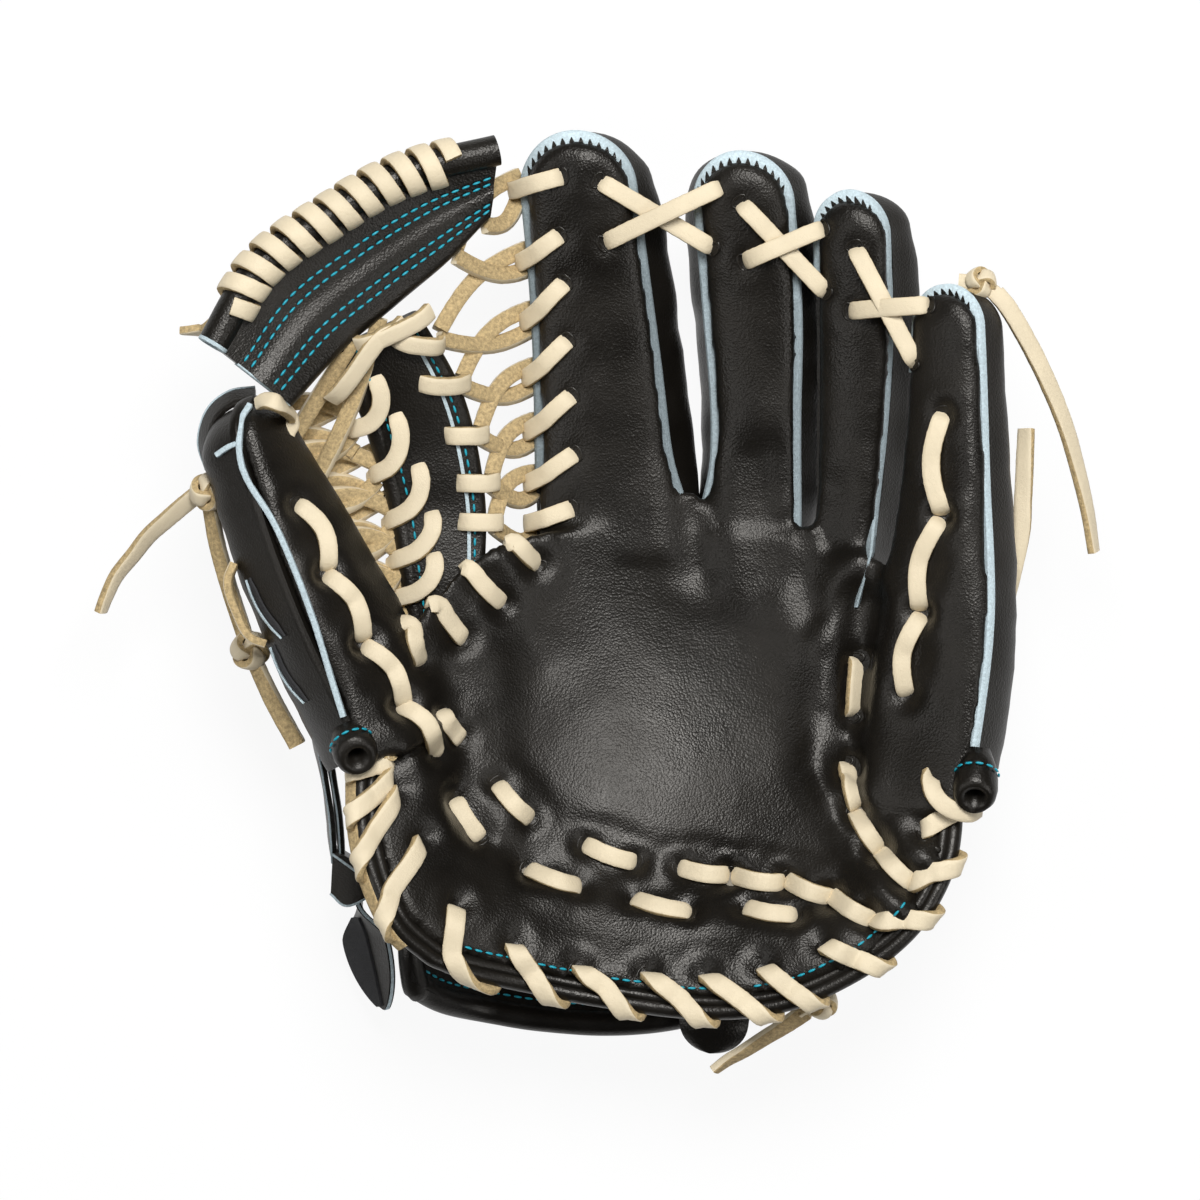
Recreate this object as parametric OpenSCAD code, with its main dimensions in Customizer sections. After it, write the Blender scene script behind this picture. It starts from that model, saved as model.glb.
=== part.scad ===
// Baseball fielder's glove with a trapeze web, for the left hand, in millimetres.
// It lies on its back: +X to the little finger, +Y to the fingertips, +Z out of the pocket.

/* [Leather] */
// Thickness of the shell leather
leather_t = 2.4; // [1.8:0.1:3]
// Thickness of the felt under the palm
felt_t = 5; // [3:0.5:6.5]
// Thickness of the lining leather
lining_t = 1.2; // [0.8:0.1:1.6]
// Thickness of the plastic stiffeners in the thumb and the little finger
stiffener_t = 1.4; // [1:0.1:2]
// Clearance between neighbouring pieces
gap = 0.3; // [0.2:0.05:0.5]

/* [Pocket] */
// Height of the palm at the deepest point of the pocket
pocket_z = 38; // [36:0.5:42]
// Rise of the palm from the pocket to the heel edge
heel_rise = 32; // [26:1:38]
// Rise of the palm from the pocket to the little finger's edge
pinky_rise = 30; // [26:1:34]
// Rise of the palm from the pocket to the thumb's edge
thumb_rise = 40; // [36:1:44]
// Rise of the palm from the pocket to the finger roots
root_rise = 3; // [1:0.5:5]

/* [Fingers] */
// Length of the index finger from its root to its tip
index_len = 115.5; // [108:0.5:120]
// Length of the middle finger
middle_len = 111; // [104:0.5:116]
// Length of the ring finger
ring_len = 106; // [98:0.5:112]
// Length of the little finger, which starts at the heel
pinky_len = 141; // [134:0.5:146]
// Length of the thumb, which starts at the heel pad
thumb_len = 103; // [98:0.5:106]
// Depth of a finger in front of its seam
front_d = 6.5; // [5:0.5:8]
// Width of the welt strip that shows in the seams
welt_w = 3.2; // [2.4:0.2:4]
// How far the welt stands out of the seam
welt_proud = 0.5; // [0.2:0.1:1]

/* [Lace] */
// Width of the rawhide lace
lace_w = 4.8; // [4:0.1:5.4]
// Thickness of the rawhide lace
lace_t = 2.4; // [1.8:0.1:2.8]
// Turns of lace wound on the bar of the web
wrap_turns = 11; // [8:1:12]
// Rows of the lace net on each side of the web's post
web_rows = 6; // [5:1:7]

/* [Web] */
// Radius of the rolled edge of the web's bar
bar_r = 4.6; // [3.8:0.2:5]
// Thickness of the flat flap under the rolled edge
flap_t = 3.4; // [2.6:0.2:4]
// Thickness of the post of the web
post_t = 4; // [3:0.5:5]

/* [Heel and wrist] */
// Radius of the rolled binding on the heel edge
binding_r = 3.4; // [2.8:0.2:4]
// How far the heel lace's holes lie inside the edge
hole_inset = 9; // [7.5:0.5:11]
// Thickness of the back panel and the wrist band
back_t = 3; // [2.4:0.2:3.6]
// Radius of the padded roll on the wrist band
wrist_r = 4; // [3.2:0.2:4.6]
// Width of the wrist strap's tab
tab_w = 24; // [18:1:28]
// Length of the wrist strap's tab
tab_len = 34; // [26:1:38]
// Thickness of the tab's leather
tab_t = 2; // [1.6:0.1:2.6]

/* [Hidden] */

black = "#1c1b1a";
cream = "#e3d0a4";
pale_blue = "#a9c0cc";
felt_grey = "#8b8578";
lining_brown = "#3a302a";
plastic_grey = "#55575a";

// The deepest point of the pocket, and the reach from it to each edge of the palm
pocket = [5, -15];
heel_reach = 109;
pinky_reach = 102;
thumb_reach = 82;
root_reach = 40;

// Fields of a finger: root, lean from +Y, rise to the tip, sideways bow, length,
// half widths from root to tip, tilts at root and tip, depths behind the seam at root and tip
F_ROOT = 0;
F_LEAN = 1;
F_RISE = 2;
F_BOW = 3;
F_LEN = 4;
F_WIDTHS = 5;
F_TILT = 6;
F_BACK = 7;
INDEX = [[-1, 22, 35], 5.2, 25, 1.5, index_len, [21.5, 20, 18.4, 17.5], [8, 10], [30, 14]];
MIDDLE = [[44, 20, 38], 2.8, 24, 2.2, middle_len, [14, 13.6, 15, 15.2], [13, 15], [30, 14]];
RING = [[71, 13, 44], -0.8, 22, 2, ring_len, [10, 11.6, 12.8, 12.6], [22, 25], [25, 14]];
PINKY = [[92, -50, 63], -3.65, 11, 3, pinky_len, [21, 21, 15.5, 12.5], [36, 36], [22, 13]];
THUMB = [[-63, -36, 65.5], 25.8, 7.5, -1, thumb_len, [20, 20.5, 18.5, 14], [-42, -56], [26, 16]];

// Rings along a finger's straight stretch and round its tip, and points across half a ring
straight_rings = 6;
tip_rings = 5;
arc_steps = 8;
tip_turn = 84;
curl_power = 1.6;
tip_roundness = 0.95;
back_boxiness = 0.65;
tip_bluntness = 0.6;
root_flatness = 0.72;
flat_share = 0.35;

// Outlines of the palm, seen from above
palm_top = [[-44, 8], [-22, 17.5], [-1, 20], [18, 21.5], [29, 18], [44, 18], [56, 16.4], [62, 11.3],
    [76, 11]];
heel_edge = [[-40.5, -108.5], [-26, -112], [-2, -117], [28, -120.5], [52, -118], [72, -109],
    [87, -97], [95.5, -83], [98.5, -70], [98.5, -54]];
palm_left = [[-44, 8], [-46.8, -28], [-43.8, -70], [-40.5, -108.5]];
palm_right = [[76, 11], [71, -8], [70.5, -31], [75, -50.5], [86, -52], [98.5, -54]];

// Outlines of the thumb's heel pad
pad_top = [[-69, -44], [-61, -37.6], [-50.3, -32]];
pad_right = [[-50.3, -32], [-44.8, -70], [-42, -107.5]];
thumb_edge = [[-51.5, -103.5], [-60.5, -94], [-68, -72], [-69, -44]];
pad_bottom = [[-51.5, -103.5], [-47, -106], [-42, -107.5]];

// Cord routes, from the knot to the cut end, each set against the finger that carries it
thumb_tail_shape = [[-23.6, -8.9, -8.7], [-27.6, -11.9, -11.7], [-32.6, -15.9, -15.7], [-38.6, -20.9, -19.7],
    [-43.6, -26.9, -22.7], [-48.6, -32.9, -24.7], [-51.6, -38.9, -25.7], [-53.6, -43.9, -26.7]];
thumb_tail_route = [for (p = thumb_tail_shape) centre(THUMB, 0.8) + p];
pinky_tail_shape = [[14.5, -1.7, -4], [18.5, -6.7, -4], [25, -17.7, -6], [31, -29.7, -9],
    [36, -41.7, -13], [40, -54.7, -17], [43, -66.7, -20], [45, -78.7, -22]];
pinky_tail_route = [for (p = pinky_tail_shape) centre(PINKY, 1) + p];
pinky_back_shape = [[20.9, -0.5, -13.3], [24.2, 12.5, -10.7], [26.7, 24.5, -9.7], [27.2, 34.5, -9.7],
    [27.7, 44.5, -9.7], [28.2, 55.5, -10.7]];
pinky_back_route = [for (p = pinky_back_shape) centre(PINKY, 0.31) + p];
heel_tail_route = [[59, -125.5, 62], [53, -130, 57], [47, -134, 52], [41, -138, 50], [36, -141, 48],
    [32, -144, 47]];
web_tail_route = [[-110.5, 83.4, 76], [-116, 80.5, 71], [-120, 78.5, 65], [-124, 78, 64], [-127, 78, 63]];

function lerp(a, b, t) = a + (b - a) * t;
function unit(v) = v / norm(v);
function reverse(list) = [for (i = [len(list) - 1 : -1 : 0]) list[i]];
function flatten(lists) = [for (list = lists) each list];
function power(x, p) = sign(x) * pow(abs(x), p);

// A smooth curve through the points p, with u from 0 to 1
function curve(p, u) =
    let (n = len(p) - 1, i = min(floor(u * n), n - 1), t = u * n - i,
        b = p[i], c = p[i + 1], a = i > 0 ? p[i - 1] : 2 * b - c, d = i + 2 <= n ? p[i + 2] : 2 * c - b)
    0.5 * (2 * b + (c - a) * t + (2 * a - 5 * b + 4 * c - d) * t * t + (3 * b - a - 3 * c + d) * t * t * t);

function curve_slope(p, u) =
    let (e = 0.01) unit(curve(p, min(u + e, 1)) - curve(p, max(u - e, 0)));

// Height of the palm's surface above the ground, and its outward normal
function palm_z(x, y) =
    let (dx = x - pocket.x, dy = y - pocket.y)
    pocket_z
    + (dx > 0 ? pinky_rise * pow(dx / pinky_reach, 2) : thumb_rise * pow(dx / thumb_reach, 2))
    + (dy > 0 ? root_rise * pow(dy / root_reach, 2) : heel_rise * pow(dy / heel_reach, 2));
function on_palm(p, lift) = [p.x, p.y, palm_z(p.x, p.y) + lift];
function palm_normal(p) =
    let (e = 0.5)
    unit([palm_z(p.x - e, p.y) - palm_z(p.x + e, p.y), palm_z(p.x, p.y - e) - palm_z(p.x, p.y + e), 2 * e]);

// Height of the ground side of the back, which is flat in the middle and climbs to both sides
back_flat_x = [-30, 52];
back_climbs = [0.03, 0.023];
wrist_y = -88;
wrist_climb = 0.0055;
function back_z(x, y) =
    back_climbs[0] * pow(max(0, back_flat_x[0] - x), 2) + back_climbs[1] * pow(max(0, x - back_flat_x[1]), 2)
    + wrist_climb * pow(max(0, wrist_y - y), 2);

// A solid through rings of points, where the first half of a ring runs opposite to the second
module loft(rings) {
    count = len(rings);
    m = len(rings[0]);
    sides = [for (r = [0 : count - 2], j = [0 : m - 1])
        let (a = r * m + j, b = r * m + (j + 1) % m, c = a + m, d = b + m)
        each [[a, b, d], [a, d, c]]];
    start = [for (j = [0 : m / 2 - 2])
        let (a = j, b = j + 1, c = m - 2 - j, d = m - 1 - j) each [[a, c, b], [a, d, c]]];
    last = (count - 1) * m;
    end = [for (f = start) [last + f[0], last + f[2], last + f[1]]];
    polyhedron(flatten(rings), concat(sides, start, end), convexity = 8);
}

// A flat lace along points, each with its own upward direction
function lace_rings(points, ups, w = lace_w, t = lace_t) =
    [for (i = [0 : len(points) - 1])
        let (ahead = unit(points[min(i + 1, len(points) - 1)] - points[max(i - 1, 0)]),
            side = unit(cross(ahead, ups[i])), up = cross(side, ahead), p = points[i])
        [p + side * w / 2 + up * t / 2, p - side * w / 2 + up * t / 2,
            p - side * w / 2 - up * t / 2, p + side * w / 2 - up * t / 2]];
module lace(points, ups, w = lace_w, t = lace_t) { loft(lace_rings(points, ups, w, t)); }

// A tube with eight sides along points, flattened by the share flat
module tube(points, r, flat = 1) {
    loft([for (i = [0 : len(points) - 1])
        let (ahead = unit(points[min(i + 1, len(points) - 1)] - points[max(i - 1, 0)]),
            side = unit(cross(ahead, [0, 0, 1])), up = cross(side, ahead))
        [for (k = [0 : 7]) points[i] + r * (side * cos(45 * k + 22.5) + up * flat * sin(45 * k + 22.5))]]);
}

// Places along a finger: centre line, direction, and the axes across and out of its front
function centre(f, s) =
    f[F_ROOT] + f[F_LEN] * s * [-sin(f[F_LEAN]), cos(f[F_LEAN]), 0]
    + f[F_BOW] * sin(180 * s) * [cos(f[F_LEAN]), sin(f[F_LEAN]), 0]
    + [0, 0, f[F_RISE] * sign(s) * pow(abs(s), curl_power)];
function ahead(f, s) = unit(centre(f, s + 0.02) - centre(f, s - 0.02));
function tilt(f, s) = lerp(f[F_TILT][0], f[F_TILT][1], s);
function level(f, s) = unit(cross(ahead(f, s), [0, 0, 1]));
function raised(f, s) = cross(level(f, s), ahead(f, s));
function across(f, s) = level(f, s) * cos(tilt(f, s)) + raised(f, s) * sin(tilt(f, s));
function outward(f, s) = raised(f, s) * cos(tilt(f, s)) - level(f, s) * sin(tilt(f, s));
function tip_start(f) = 1 - tip_roundness * f[F_WIDTHS][3] / f[F_LEN];
function back_depth(f, s) = lerp(f[F_BACK][0], f[F_BACK][1], s);

// Ring k of a finger moved out by d: its place along the finger, half width and share of depth
function station(f, k, d) =
    let (s0 = tip_start(f), turn = tip_turn * (k - straight_rings) / tip_rings)
    k <= straight_rings
        ? let (s = s0 * k / straight_rings) [s, curve(f[F_WIDTHS], k / straight_rings) + d, 1]
        : [s0 + (1 - s0 + d / f[F_LEN]) * sin(turn), (f[F_WIDTHS][3] + d) * cos(turn),
            pow(cos(turn), tip_bluntness)];
function front_depth(s) = front_d * lerp(root_flatness, 1, min(1, max(0, s) / flat_share)) - welt_w / 2;
function front_point(f, st, d, a) =
    centre(f, st[0]) + across(f, st[0]) * st[1] * cos(a)
    + outward(f, st[0]) * (welt_w / 2 + gap + max(front_depth(st[0]) + d, 0.4) * st[2] * sin(a));
function back_point(f, st, d, a) =
    centre(f, st[0]) + across(f, st[0]) * st[1] * power(cos(a), back_boxiness)
    - outward(f, st[0]) * (welt_w / 2 + gap
        + max(back_depth(f, st[0]) + d, 0.4) * st[2] * power(sin(a), 0.8));

last_ring = straight_rings + tip_rings;
module finger_front(f) {
    loft([for (k = [0 : last_ring])
        let (o = station(f, k, 0), i = station(f, k, -leather_t))
        concat([for (j = [0 : arc_steps]) front_point(f, o, 0, 180 * j / arc_steps)],
            [for (j = [arc_steps : -1 : 0]) front_point(f, i, -leather_t, 180 * j / arc_steps)])]);
}
module finger_back(f) {
    loft([for (k = [0 : last_ring])
        let (o = station(f, k, 0), i = station(f, k, -leather_t))
        concat([for (j = [arc_steps : -1 : 0]) back_point(f, o, 0, 180 * j / arc_steps)],
            [for (j = [0 : arc_steps]) back_point(f, i, -leather_t, 180 * j / arc_steps)])]);
}

// The strip between the front and the back, up one side of a finger, round its tip and down
function seam_ring(f, k, side) =
    let (o = station(f, k, welt_proud), i = station(f, k, -leather_t))
    [for (c = [[o, -1], [o, 1], [i, 1], [i, -1]])
        centre(f, c[0][0]) + side * across(f, c[0][0]) * c[0][1] + outward(f, c[0][0]) * c[1] * welt_w / 2];
module finger_welt(f) {
    loft(concat([for (k = [0 : last_ring]) seam_ring(f, k, 1)],
        [for (k = [last_ring : -1 : 0]) seam_ring(f, k, -1)]));
}

// A plastic sheet inside the back of a finger
stiffener_rings = [1, 2, 3, 4, 5, 6];
stiffener_arc = 25;
module stiffener(f) {
    d = -leather_t - 2 * gap;
    angles = [for (j = [0 : arc_steps]) lerp(stiffener_arc, 180 - stiffener_arc, j / arc_steps)];
    loft([for (k = stiffener_rings)
        let (o = station(f, k, d), i = station(f, k, d - stiffener_t))
        concat([for (a = reverse(angles)) back_point(f, o, d, a)],
            [for (a = angles) back_point(f, i, d - stiffener_t, a)])]);
}

// A point on a finger's front or back leather, lifted off it
function on_front(f, s, a, lift = 0) =
    let (w = curve(f[F_WIDTHS], min(s / tip_start(f), 1)))
    front_point(f, [s, w + lift, 1], lift, a);

function on_back(f, s, a, lift = 0) =
    let (w = curve(f[F_WIDTHS], min(s / tip_start(f), 1)))
    back_point(f, [s, w + lift, 1], lift, a);

// A blend of four edges, with p across and q from the first edge to the opposite one
function patch(top, bottom, left, right, p, q) =
    (1 - q) * curve(top, p) + q * curve(bottom, p) + (1 - p) * curve(left, q) + p * curve(right, q)
    - (1 - p) * (1 - q) * top[0] - p * (1 - q) * top[len(top) - 1]
    - (1 - p) * q * bottom[0] - p * q * bottom[len(bottom) - 1];
function palm_at(p, q) = patch(palm_top, heel_edge, palm_left, palm_right, p, q);
function pad_at(p, q) = patch(pad_top, pad_bottom, reverse(thumb_edge), pad_right, p, q);

// A layer of the palm or of the thumb's pad, between two depths under the surface
module layer(at, p, q, steps, upper, lower) {
    loft([for (i = [0 : steps[1]])
        let (row = [for (j = [0 : steps[0]])
            at(lerp(p[0], p[1], j / steps[0]), lerp(q[0], q[1], i / steps[1]))])
        concat([for (c = row) on_palm(c, -upper)], [for (c = reverse(row)) on_palm(c, -lower)])]);
}
felt_top = leather_t + 3 * gap;
lining_top = felt_top + felt_t + 3 * gap;
all = [0, 1];
inset = [0.06, 0.94];
felt_q = [0.06, 0.56];
heel_q = [0.6, 0.93];

module palm_leather() {
    color(black) layer(function (p, q) palm_at(p, q), all, all, [18, 12], 0, leather_t);
}
module palm_felt() {
    color(felt_grey) layer(function (p, q) palm_at(p, q), inset, felt_q, [10, 6],
        felt_top, felt_top + felt_t);
}
module heel_felt() {
    color(felt_grey) layer(function (p, q) palm_at(p, q), inset, heel_q, [14, 5],
        felt_top, felt_top + felt_t);
}
module palm_lining() {
    color(lining_brown) layer(function (p, q) palm_at(p, q), inset, [0.06, 0.92], [12, 9],
        lining_top, lining_top + lining_t);
}
module thumb_pad_leather() {
    color(black) layer(function (p, q) pad_at(p, q), all, all, [6, 9], 0, leather_t);
}
module thumb_pad_felt() {
    color(felt_grey) layer(function (p, q) pad_at(p, q), [0.12, 0.88], [0.08, 0.9], [4, 6],
        felt_top, felt_top + felt_t);
}

// The rolled ends of the thumb's and the little finger's seams at the heel
roll_r = 5.4;
roll_bore_r = 2.4;
roll_len = 8;
module seam_roll(f, side) {
    s = -(roll_len / 2 + 2 * gap) / f[F_LEN];
    w = f[F_WIDTHS][0];
    at = centre(f, s) + side * across(f, s) * (w + 1.5);
    way = ahead(f, s);
    color(black) translate(at) rotate([0, acos(way.z), atan2(way.y, way.x)])
        rotate_extrude($fn = 32) translate([roll_bore_r, -roll_len / 2])
            square([roll_r - roll_bore_r, roll_len]);
}

// The ground side of the hand: a panel behind the knuckles, and the wrist band
panel_top = [[-60, -4], [-40, 8], [-22, 20], [0, 24], [19, 25], [29, 23], [54, 22], [62, 12], [88, 9]];
panel_bottom = [[-60, -48], [-20, -48], [20, -48], [60, -48], [88, -48]];
band_top = [[-58, -84], [-20, -84], [20, -84], [60, -84], [84, -84]];
band_edge = [[-58, -115], [-46, -121.5], [-20, -126.5], [6, -127.5], [30, -123.5], [58, -113], [84, -98]];
module back_layer(top, bottom, steps) {
    loft([for (i = [0 : steps[1]])
        let (row = [for (j = [0 : steps[0]])
            lerp(curve(top, j / steps[0]), curve(bottom, j / steps[0]), i / steps[1])])
        concat([for (c = row) [c.x, c.y, back_z(c.x, c.y) + back_t]],
            [for (c = reverse(row)) [c.x, c.y, back_z(c.x, c.y)]])]);
}
module back_panel() { color(black) back_layer(panel_top, panel_bottom, [18, 5]); }
module wrist_band() { color(black) back_layer(band_top, band_edge, [16, 5]); }
function wrist_roll_at(u) =
    let (e = curve(band_edge, u), w = curve_slope(band_edge, u), c = e + [w.y, -w.x] * (wrist_r + gap))
    [c.x, c.y, back_z(e.x, e.y) + back_t / 2];
module wrist_roll() { color(black) tube([for (j = [0 : 18]) wrist_roll_at(j / 18)], wrist_r); }

// A tongue that lies on the band and hangs over its roll
tongue_w = 21;
tongue_root_y = -106;
tongue_way = [-5, -32];
module wrist_tongue() {
    root = [36, tongue_root_y];
    rest = back_t * 1.5 + gap;
    lifts = [0.4, 0.5, 3.4, 5.2, 2];
    points = [for (i = [0 : 4])
        let (c = root + tongue_way * i / 4) [c.x, c.y, back_z(c.x, max(c.y, -128)) + rest + lifts[i]]];
    color(black) lace(points, [for (p = points) [0, 0, 1]], tongue_w, back_t);
}

// The heel edge: its place and inward direction, then the rolled binding and the lace round it
function edge_at(edge, u) = curve(edge, u);
function inward(edge, u) = let (w = curve_slope(edge, u)) [-w.y, w.x];
function binding_at(edge, u) =
    let (e = edge_at(edge, u) - inward(edge, u) * (binding_r + gap)) [e.x, e.y, palm_z(e.x, e.y) - binding_r];
module binding(edge, from, to, steps) {
    color(black) tube([for (i = [0 : steps]) binding_at(edge, lerp(from, to, i / steps))], binding_r);
}
module heel_binding() { binding(heel_edge, 0, 0.93, 22); }
module thumb_binding() { binding(reverse(thumb_edge), 0.13, 1, 9); }

// Side walls of the hand, from under the binding down to the back
pinky_cuff_lower = [[76, -98, 22], [86, -86, 29], [91, -70, 33], [93, -56, 36]];
thumb_cuff_lower = [[-77, -56, 43], [-75, -72, 42], [-71, -86, 41], [-65, -96, 40]];
cuff_rows = 4;
cuff_cols = 6;
module cuff(edge, span, lower, outside) {
    loft([for (i = [0 : cuff_rows])
        let (row = [for (j = [0 : cuff_cols])
            let (u = j / cuff_cols, under = [0, 0, binding_r + 2.6 * gap],
                top = binding_at(edge, lerp(span[0], span[1], u)) - under)
            lerp(top, curve(lower, u), i / cuff_rows)])
        concat([for (c = row) c], [for (c = reverse(row)) c - outside * leather_t])]);
}
module pinky_cuff() { color(black) cuff(heel_edge, [0.56, 0.93], pinky_cuff_lower, [0.8, -0.3, -0.4]); }
module thumb_cuff() {
    color(black) cuff(reverse(thumb_edge), [0.14, 0.86], thumb_cuff_lower, [-0.85, -0.3, -0.4]);
}

// One turn of lace from its hole over the binding and under it, where along is its slant
wrap_bend = [90, 45, 0, -45];
function edge_len(edge) = len(edge) < 2 ? 0
    : norm(edge[1] - edge[0]) + edge_len([for (i = [1 : len(edge) - 1]) edge[i]]);
module edge_wrap(edge, u, along) {
    step = along / edge_len(edge);
    over = lace_t / 2 + gap;
    r = binding_r + 3.6 * gap + lace_t / 2;
    holes = [[hole_inset, 0, -leather_t / 2], [hole_inset - 2, 0.08, over + 0.5],
        [hole_inset / 2, 0.25, over + 1.2]];
    flat = [for (h = holes)
        let (v = u + h[1] * step) on_palm(edge_at(edge, v) + inward(edge, v) * h[0], h[2])];
    turn = [for (i = [0 : 3])
        let (v = u + (0.55 + 0.15 * i) * step, n = inward(edge, v), out = [-n.x, -n.y, 0],
            way = unit(binding_at(edge, v + 0.01) - binding_at(edge, v - 0.01)), up = unit(cross(out, way)))
        [binding_at(edge, v), unit(out * cos(wrap_bend[i]) + up * sign(up.z) * sin(wrap_bend[i]))]];
    top = palm_normal(edge_at(edge, u));
    n = inward(edge, u);
    lace(concat(flat, [for (t = turn) t[0] + t[1] * r]),
        concat([unit(top + [n.x, n.y, 0]), top, top], [for (t = turn) t[1]]));
}
heel_wrap_places = [0.09, 0.2, 0.29, 0.37, 0.44, 0.52, 0.61, 0.71, 0.8, 0.87];
heel_wrap_slant = 12;
module heel_lace() {
    color(cream) for (u = heel_wrap_places) edge_wrap(heel_edge, u, heel_wrap_slant);
}
thumb_wrap_places = [0.2, 0.39, 0.59, 0.82];
module thumb_heel_lace() {
    color(cream) for (u = thumb_wrap_places) edge_wrap(reverse(thumb_edge), u, 6);
}

// A stitch of lace on the palm between two holes
stitch_lift = [-0.5, 0.55, 0.75, 0.8, 0.75, 0.55, -0.5];
module palm_stitch(a, b) {
    n = len(stitch_lift) - 1;
    points = [for (i = [0 : n]) on_palm(lerp(a, b, i / n), stitch_lift[i] * lace_t)];
    lace(points, [for (p = points) palm_normal(p)]);
}
palm_stitches = [
    [[-42, -63], [-36.5, -74.5]], [[-34, -58], [-22.5, -69]], [[-7.5, -75], [8, -81]],
    [[-25.5, -83.5], [-8, -89.5]], [[7, -92.5], [25, -97]], [[40, -95.5], [57.5, -97]],
    [[21, -83], [35, -85]], [[37.5, -85], [51.5, -87.5]], [[54, -87.5], [65.5, -91]],
    [[69, -51.5], [72.5, -62.5]], [[73.5, -65], [80.5, -76.5]], [[66, -21], [66.5, -37]]];
module palm_lace() {
    color(cream) for (s = palm_stitches) palm_stitch(s[0], s[1]);
}

// A stitch along the front of a finger between two places
module front_stitch(f, s0, s1, a) {
    n = len(stitch_lift) - 1;
    places = [for (i = [0 : n]) lerp(s0, s1, i / n)];
    lace([for (i = [0 : n]) on_front(f, places[i], a, 0) + outward(f, places[i]) * stitch_lift[i] * lace_t],
        [for (s = places) outward(f, s)]);
}
pinky_stitch_places = [0.14, 0.34, 0.55, 0.74];
stitch_share = 0.94;
module pinky_edge_lace() {
    color(cream) for (i = [0 : 2])
        front_stitch(PINKY, pinky_stitch_places[i],
            lerp(pinky_stitch_places[i], pinky_stitch_places[i + 1], stitch_share), 90);
}
thumb_stitch_places = [0.06, 0.25, 0.45, 0.66];
module thumb_edge_lace() {
    color(cream) {
        for (i = [0 : 2])
            front_stitch(THUMB, thumb_stitch_places[i],
                lerp(thumb_stitch_places[i], thumb_stitch_places[i + 1], stitch_share), 90);
        palm_stitch([-61, -44], [-54, -56]);
    }
}

// Two laces that cross between neighbouring fingers
module crossing(a, b, places) {
    color(cream) for (strand = places) {
        start = on_front(a, strand[0], strand[1], 0);
        end = on_front(b, strand[2], strand[3], 0);
        ups = [outward(a, strand[0]), outward(b, strand[2])];
        lace([for (i = [0 : 6])
            let (t = i / 6)
            lerp(start, end, t)
            + lerp(ups[0], ups[1], t) * (lace_t * stitch_lift[i] + strand[4] * sin(180 * t))],
            [for (i = [0 : 6]) lerp(ups[0], ups[1], i / 6)]);
    }
}
module index_middle_lace() { crossing(INDEX, MIDDLE, [[0.87, 62, 0.75, 130, 4], [0.71, 66, 0.9, 140, 8.5]]); }
module middle_ring_lace() { crossing(MIDDLE, RING, [[0.85, 80, 0.73, 100, 4.5], [0.7, 75, 0.89, 120, 9]]); }
module ring_pinky_lace() { crossing(RING, PINKY, [[0.84, 85, 0.82, 120, 4.5], [0.68, 90, 0.93, 125, 9]]); }

// The bar of the web: a rolled edge with a flat flap, wound with lace
bar_route = [[-117, 73, 84], [-103.8, 95.2, 82], [-82.5, 111.7, 79], [-58.7, 124.6, 75], [-33, 131.5, 71]];
flap_route = [[-98, 62, 74], [-80, 74, 68], [-63, 86, 65], [-48, 99, 62], [-36, 112, 61]];
bar_rings = 16;
function bar_section(u) =
    let (c = curve(bar_route, u), w = curve_slope(bar_route, u), f = curve(flap_route, u) - c,
        down = unit(f - w * (f * w)), up = cross(down, w), depth = f * down, tail = w * (f * w))
    [c + up * bar_r - down * 0.4 * bar_r, c + up * 0.5 * bar_r + down * 0.9 * bar_r,
        c + up * flap_t / 2 + down * 1.5 * bar_r, c + up * flap_t / 2 + down * depth + tail,
        c - up * flap_t / 2 + down * depth + tail, c - up * flap_t / 2 + down * 1.5 * bar_r,
        c - up * 0.5 * bar_r + down * 0.9 * bar_r, c - up * bar_r - down * 0.4 * bar_r,
        c - up * 0.5 * bar_r - down * bar_r, c + up * 0.5 * bar_r - down * bar_r];
module web_bar() {
    rings = [for (i = [0 : bar_rings]) bar_section(i / bar_rings)];
    color(black) loft([for (r = rings) [r[8], r[7], r[6], r[5], r[4], r[3], r[2], r[1], r[0], r[9]]]);
}
wrap_from = 0.12;
wrap_to = 0.87;
turn_rings = 16;
wrap_r = bar_r + lace_t / 2 + gap;
wrap_w = 0.9 * lace_w;
wrap_points = [for (i = [0 : wrap_turns * turn_rings])
    let (u = lerp(wrap_from, wrap_to, i / wrap_turns / turn_rings), a = -360 * i / turn_rings + 90,
        w = curve_slope(bar_route, u), side = unit(cross(w, [0, 0, 1])), up = cross(side, w))
    curve(bar_route, u) + wrap_r * (side * cos(a) + up * sin(a))];
wrap_ups = [for (i = [0 : wrap_turns * turn_rings])
    unit(wrap_points[i] - curve(bar_route, lerp(wrap_from, wrap_to, i / wrap_turns / turn_rings)))];
last_wrap = len(wrap_points) - 1;
wrap_gap = min([for (i = [0 : last_wrap - turn_rings])
    min([for (j = [-3 : 3]) norm(wrap_points[i] - wrap_points[min(i + turn_rings + j, last_wrap)])])])
    - wrap_w;
echo("least gap between turns of the bar's lace", wrap_gap);
module web_wrap_lace() {
    color(cream) loft([for (i = [0 : len(wrap_points) - 1])
        let (p = wrap_points[i], up = wrap_ups[i],
            way = unit(wrap_points[min(i + 1, len(wrap_points) - 1)] - wrap_points[max(i - 1, 0)]),
            side = unit(cross(way, up)))
        let (half = side * wrap_w / 2, flat = 0.7 * half, face = up * lace_t / 2)
        [p + half, p + flat + face, p - flat + face, p - half, p - flat - face, p + flat - face]]);
}

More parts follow.
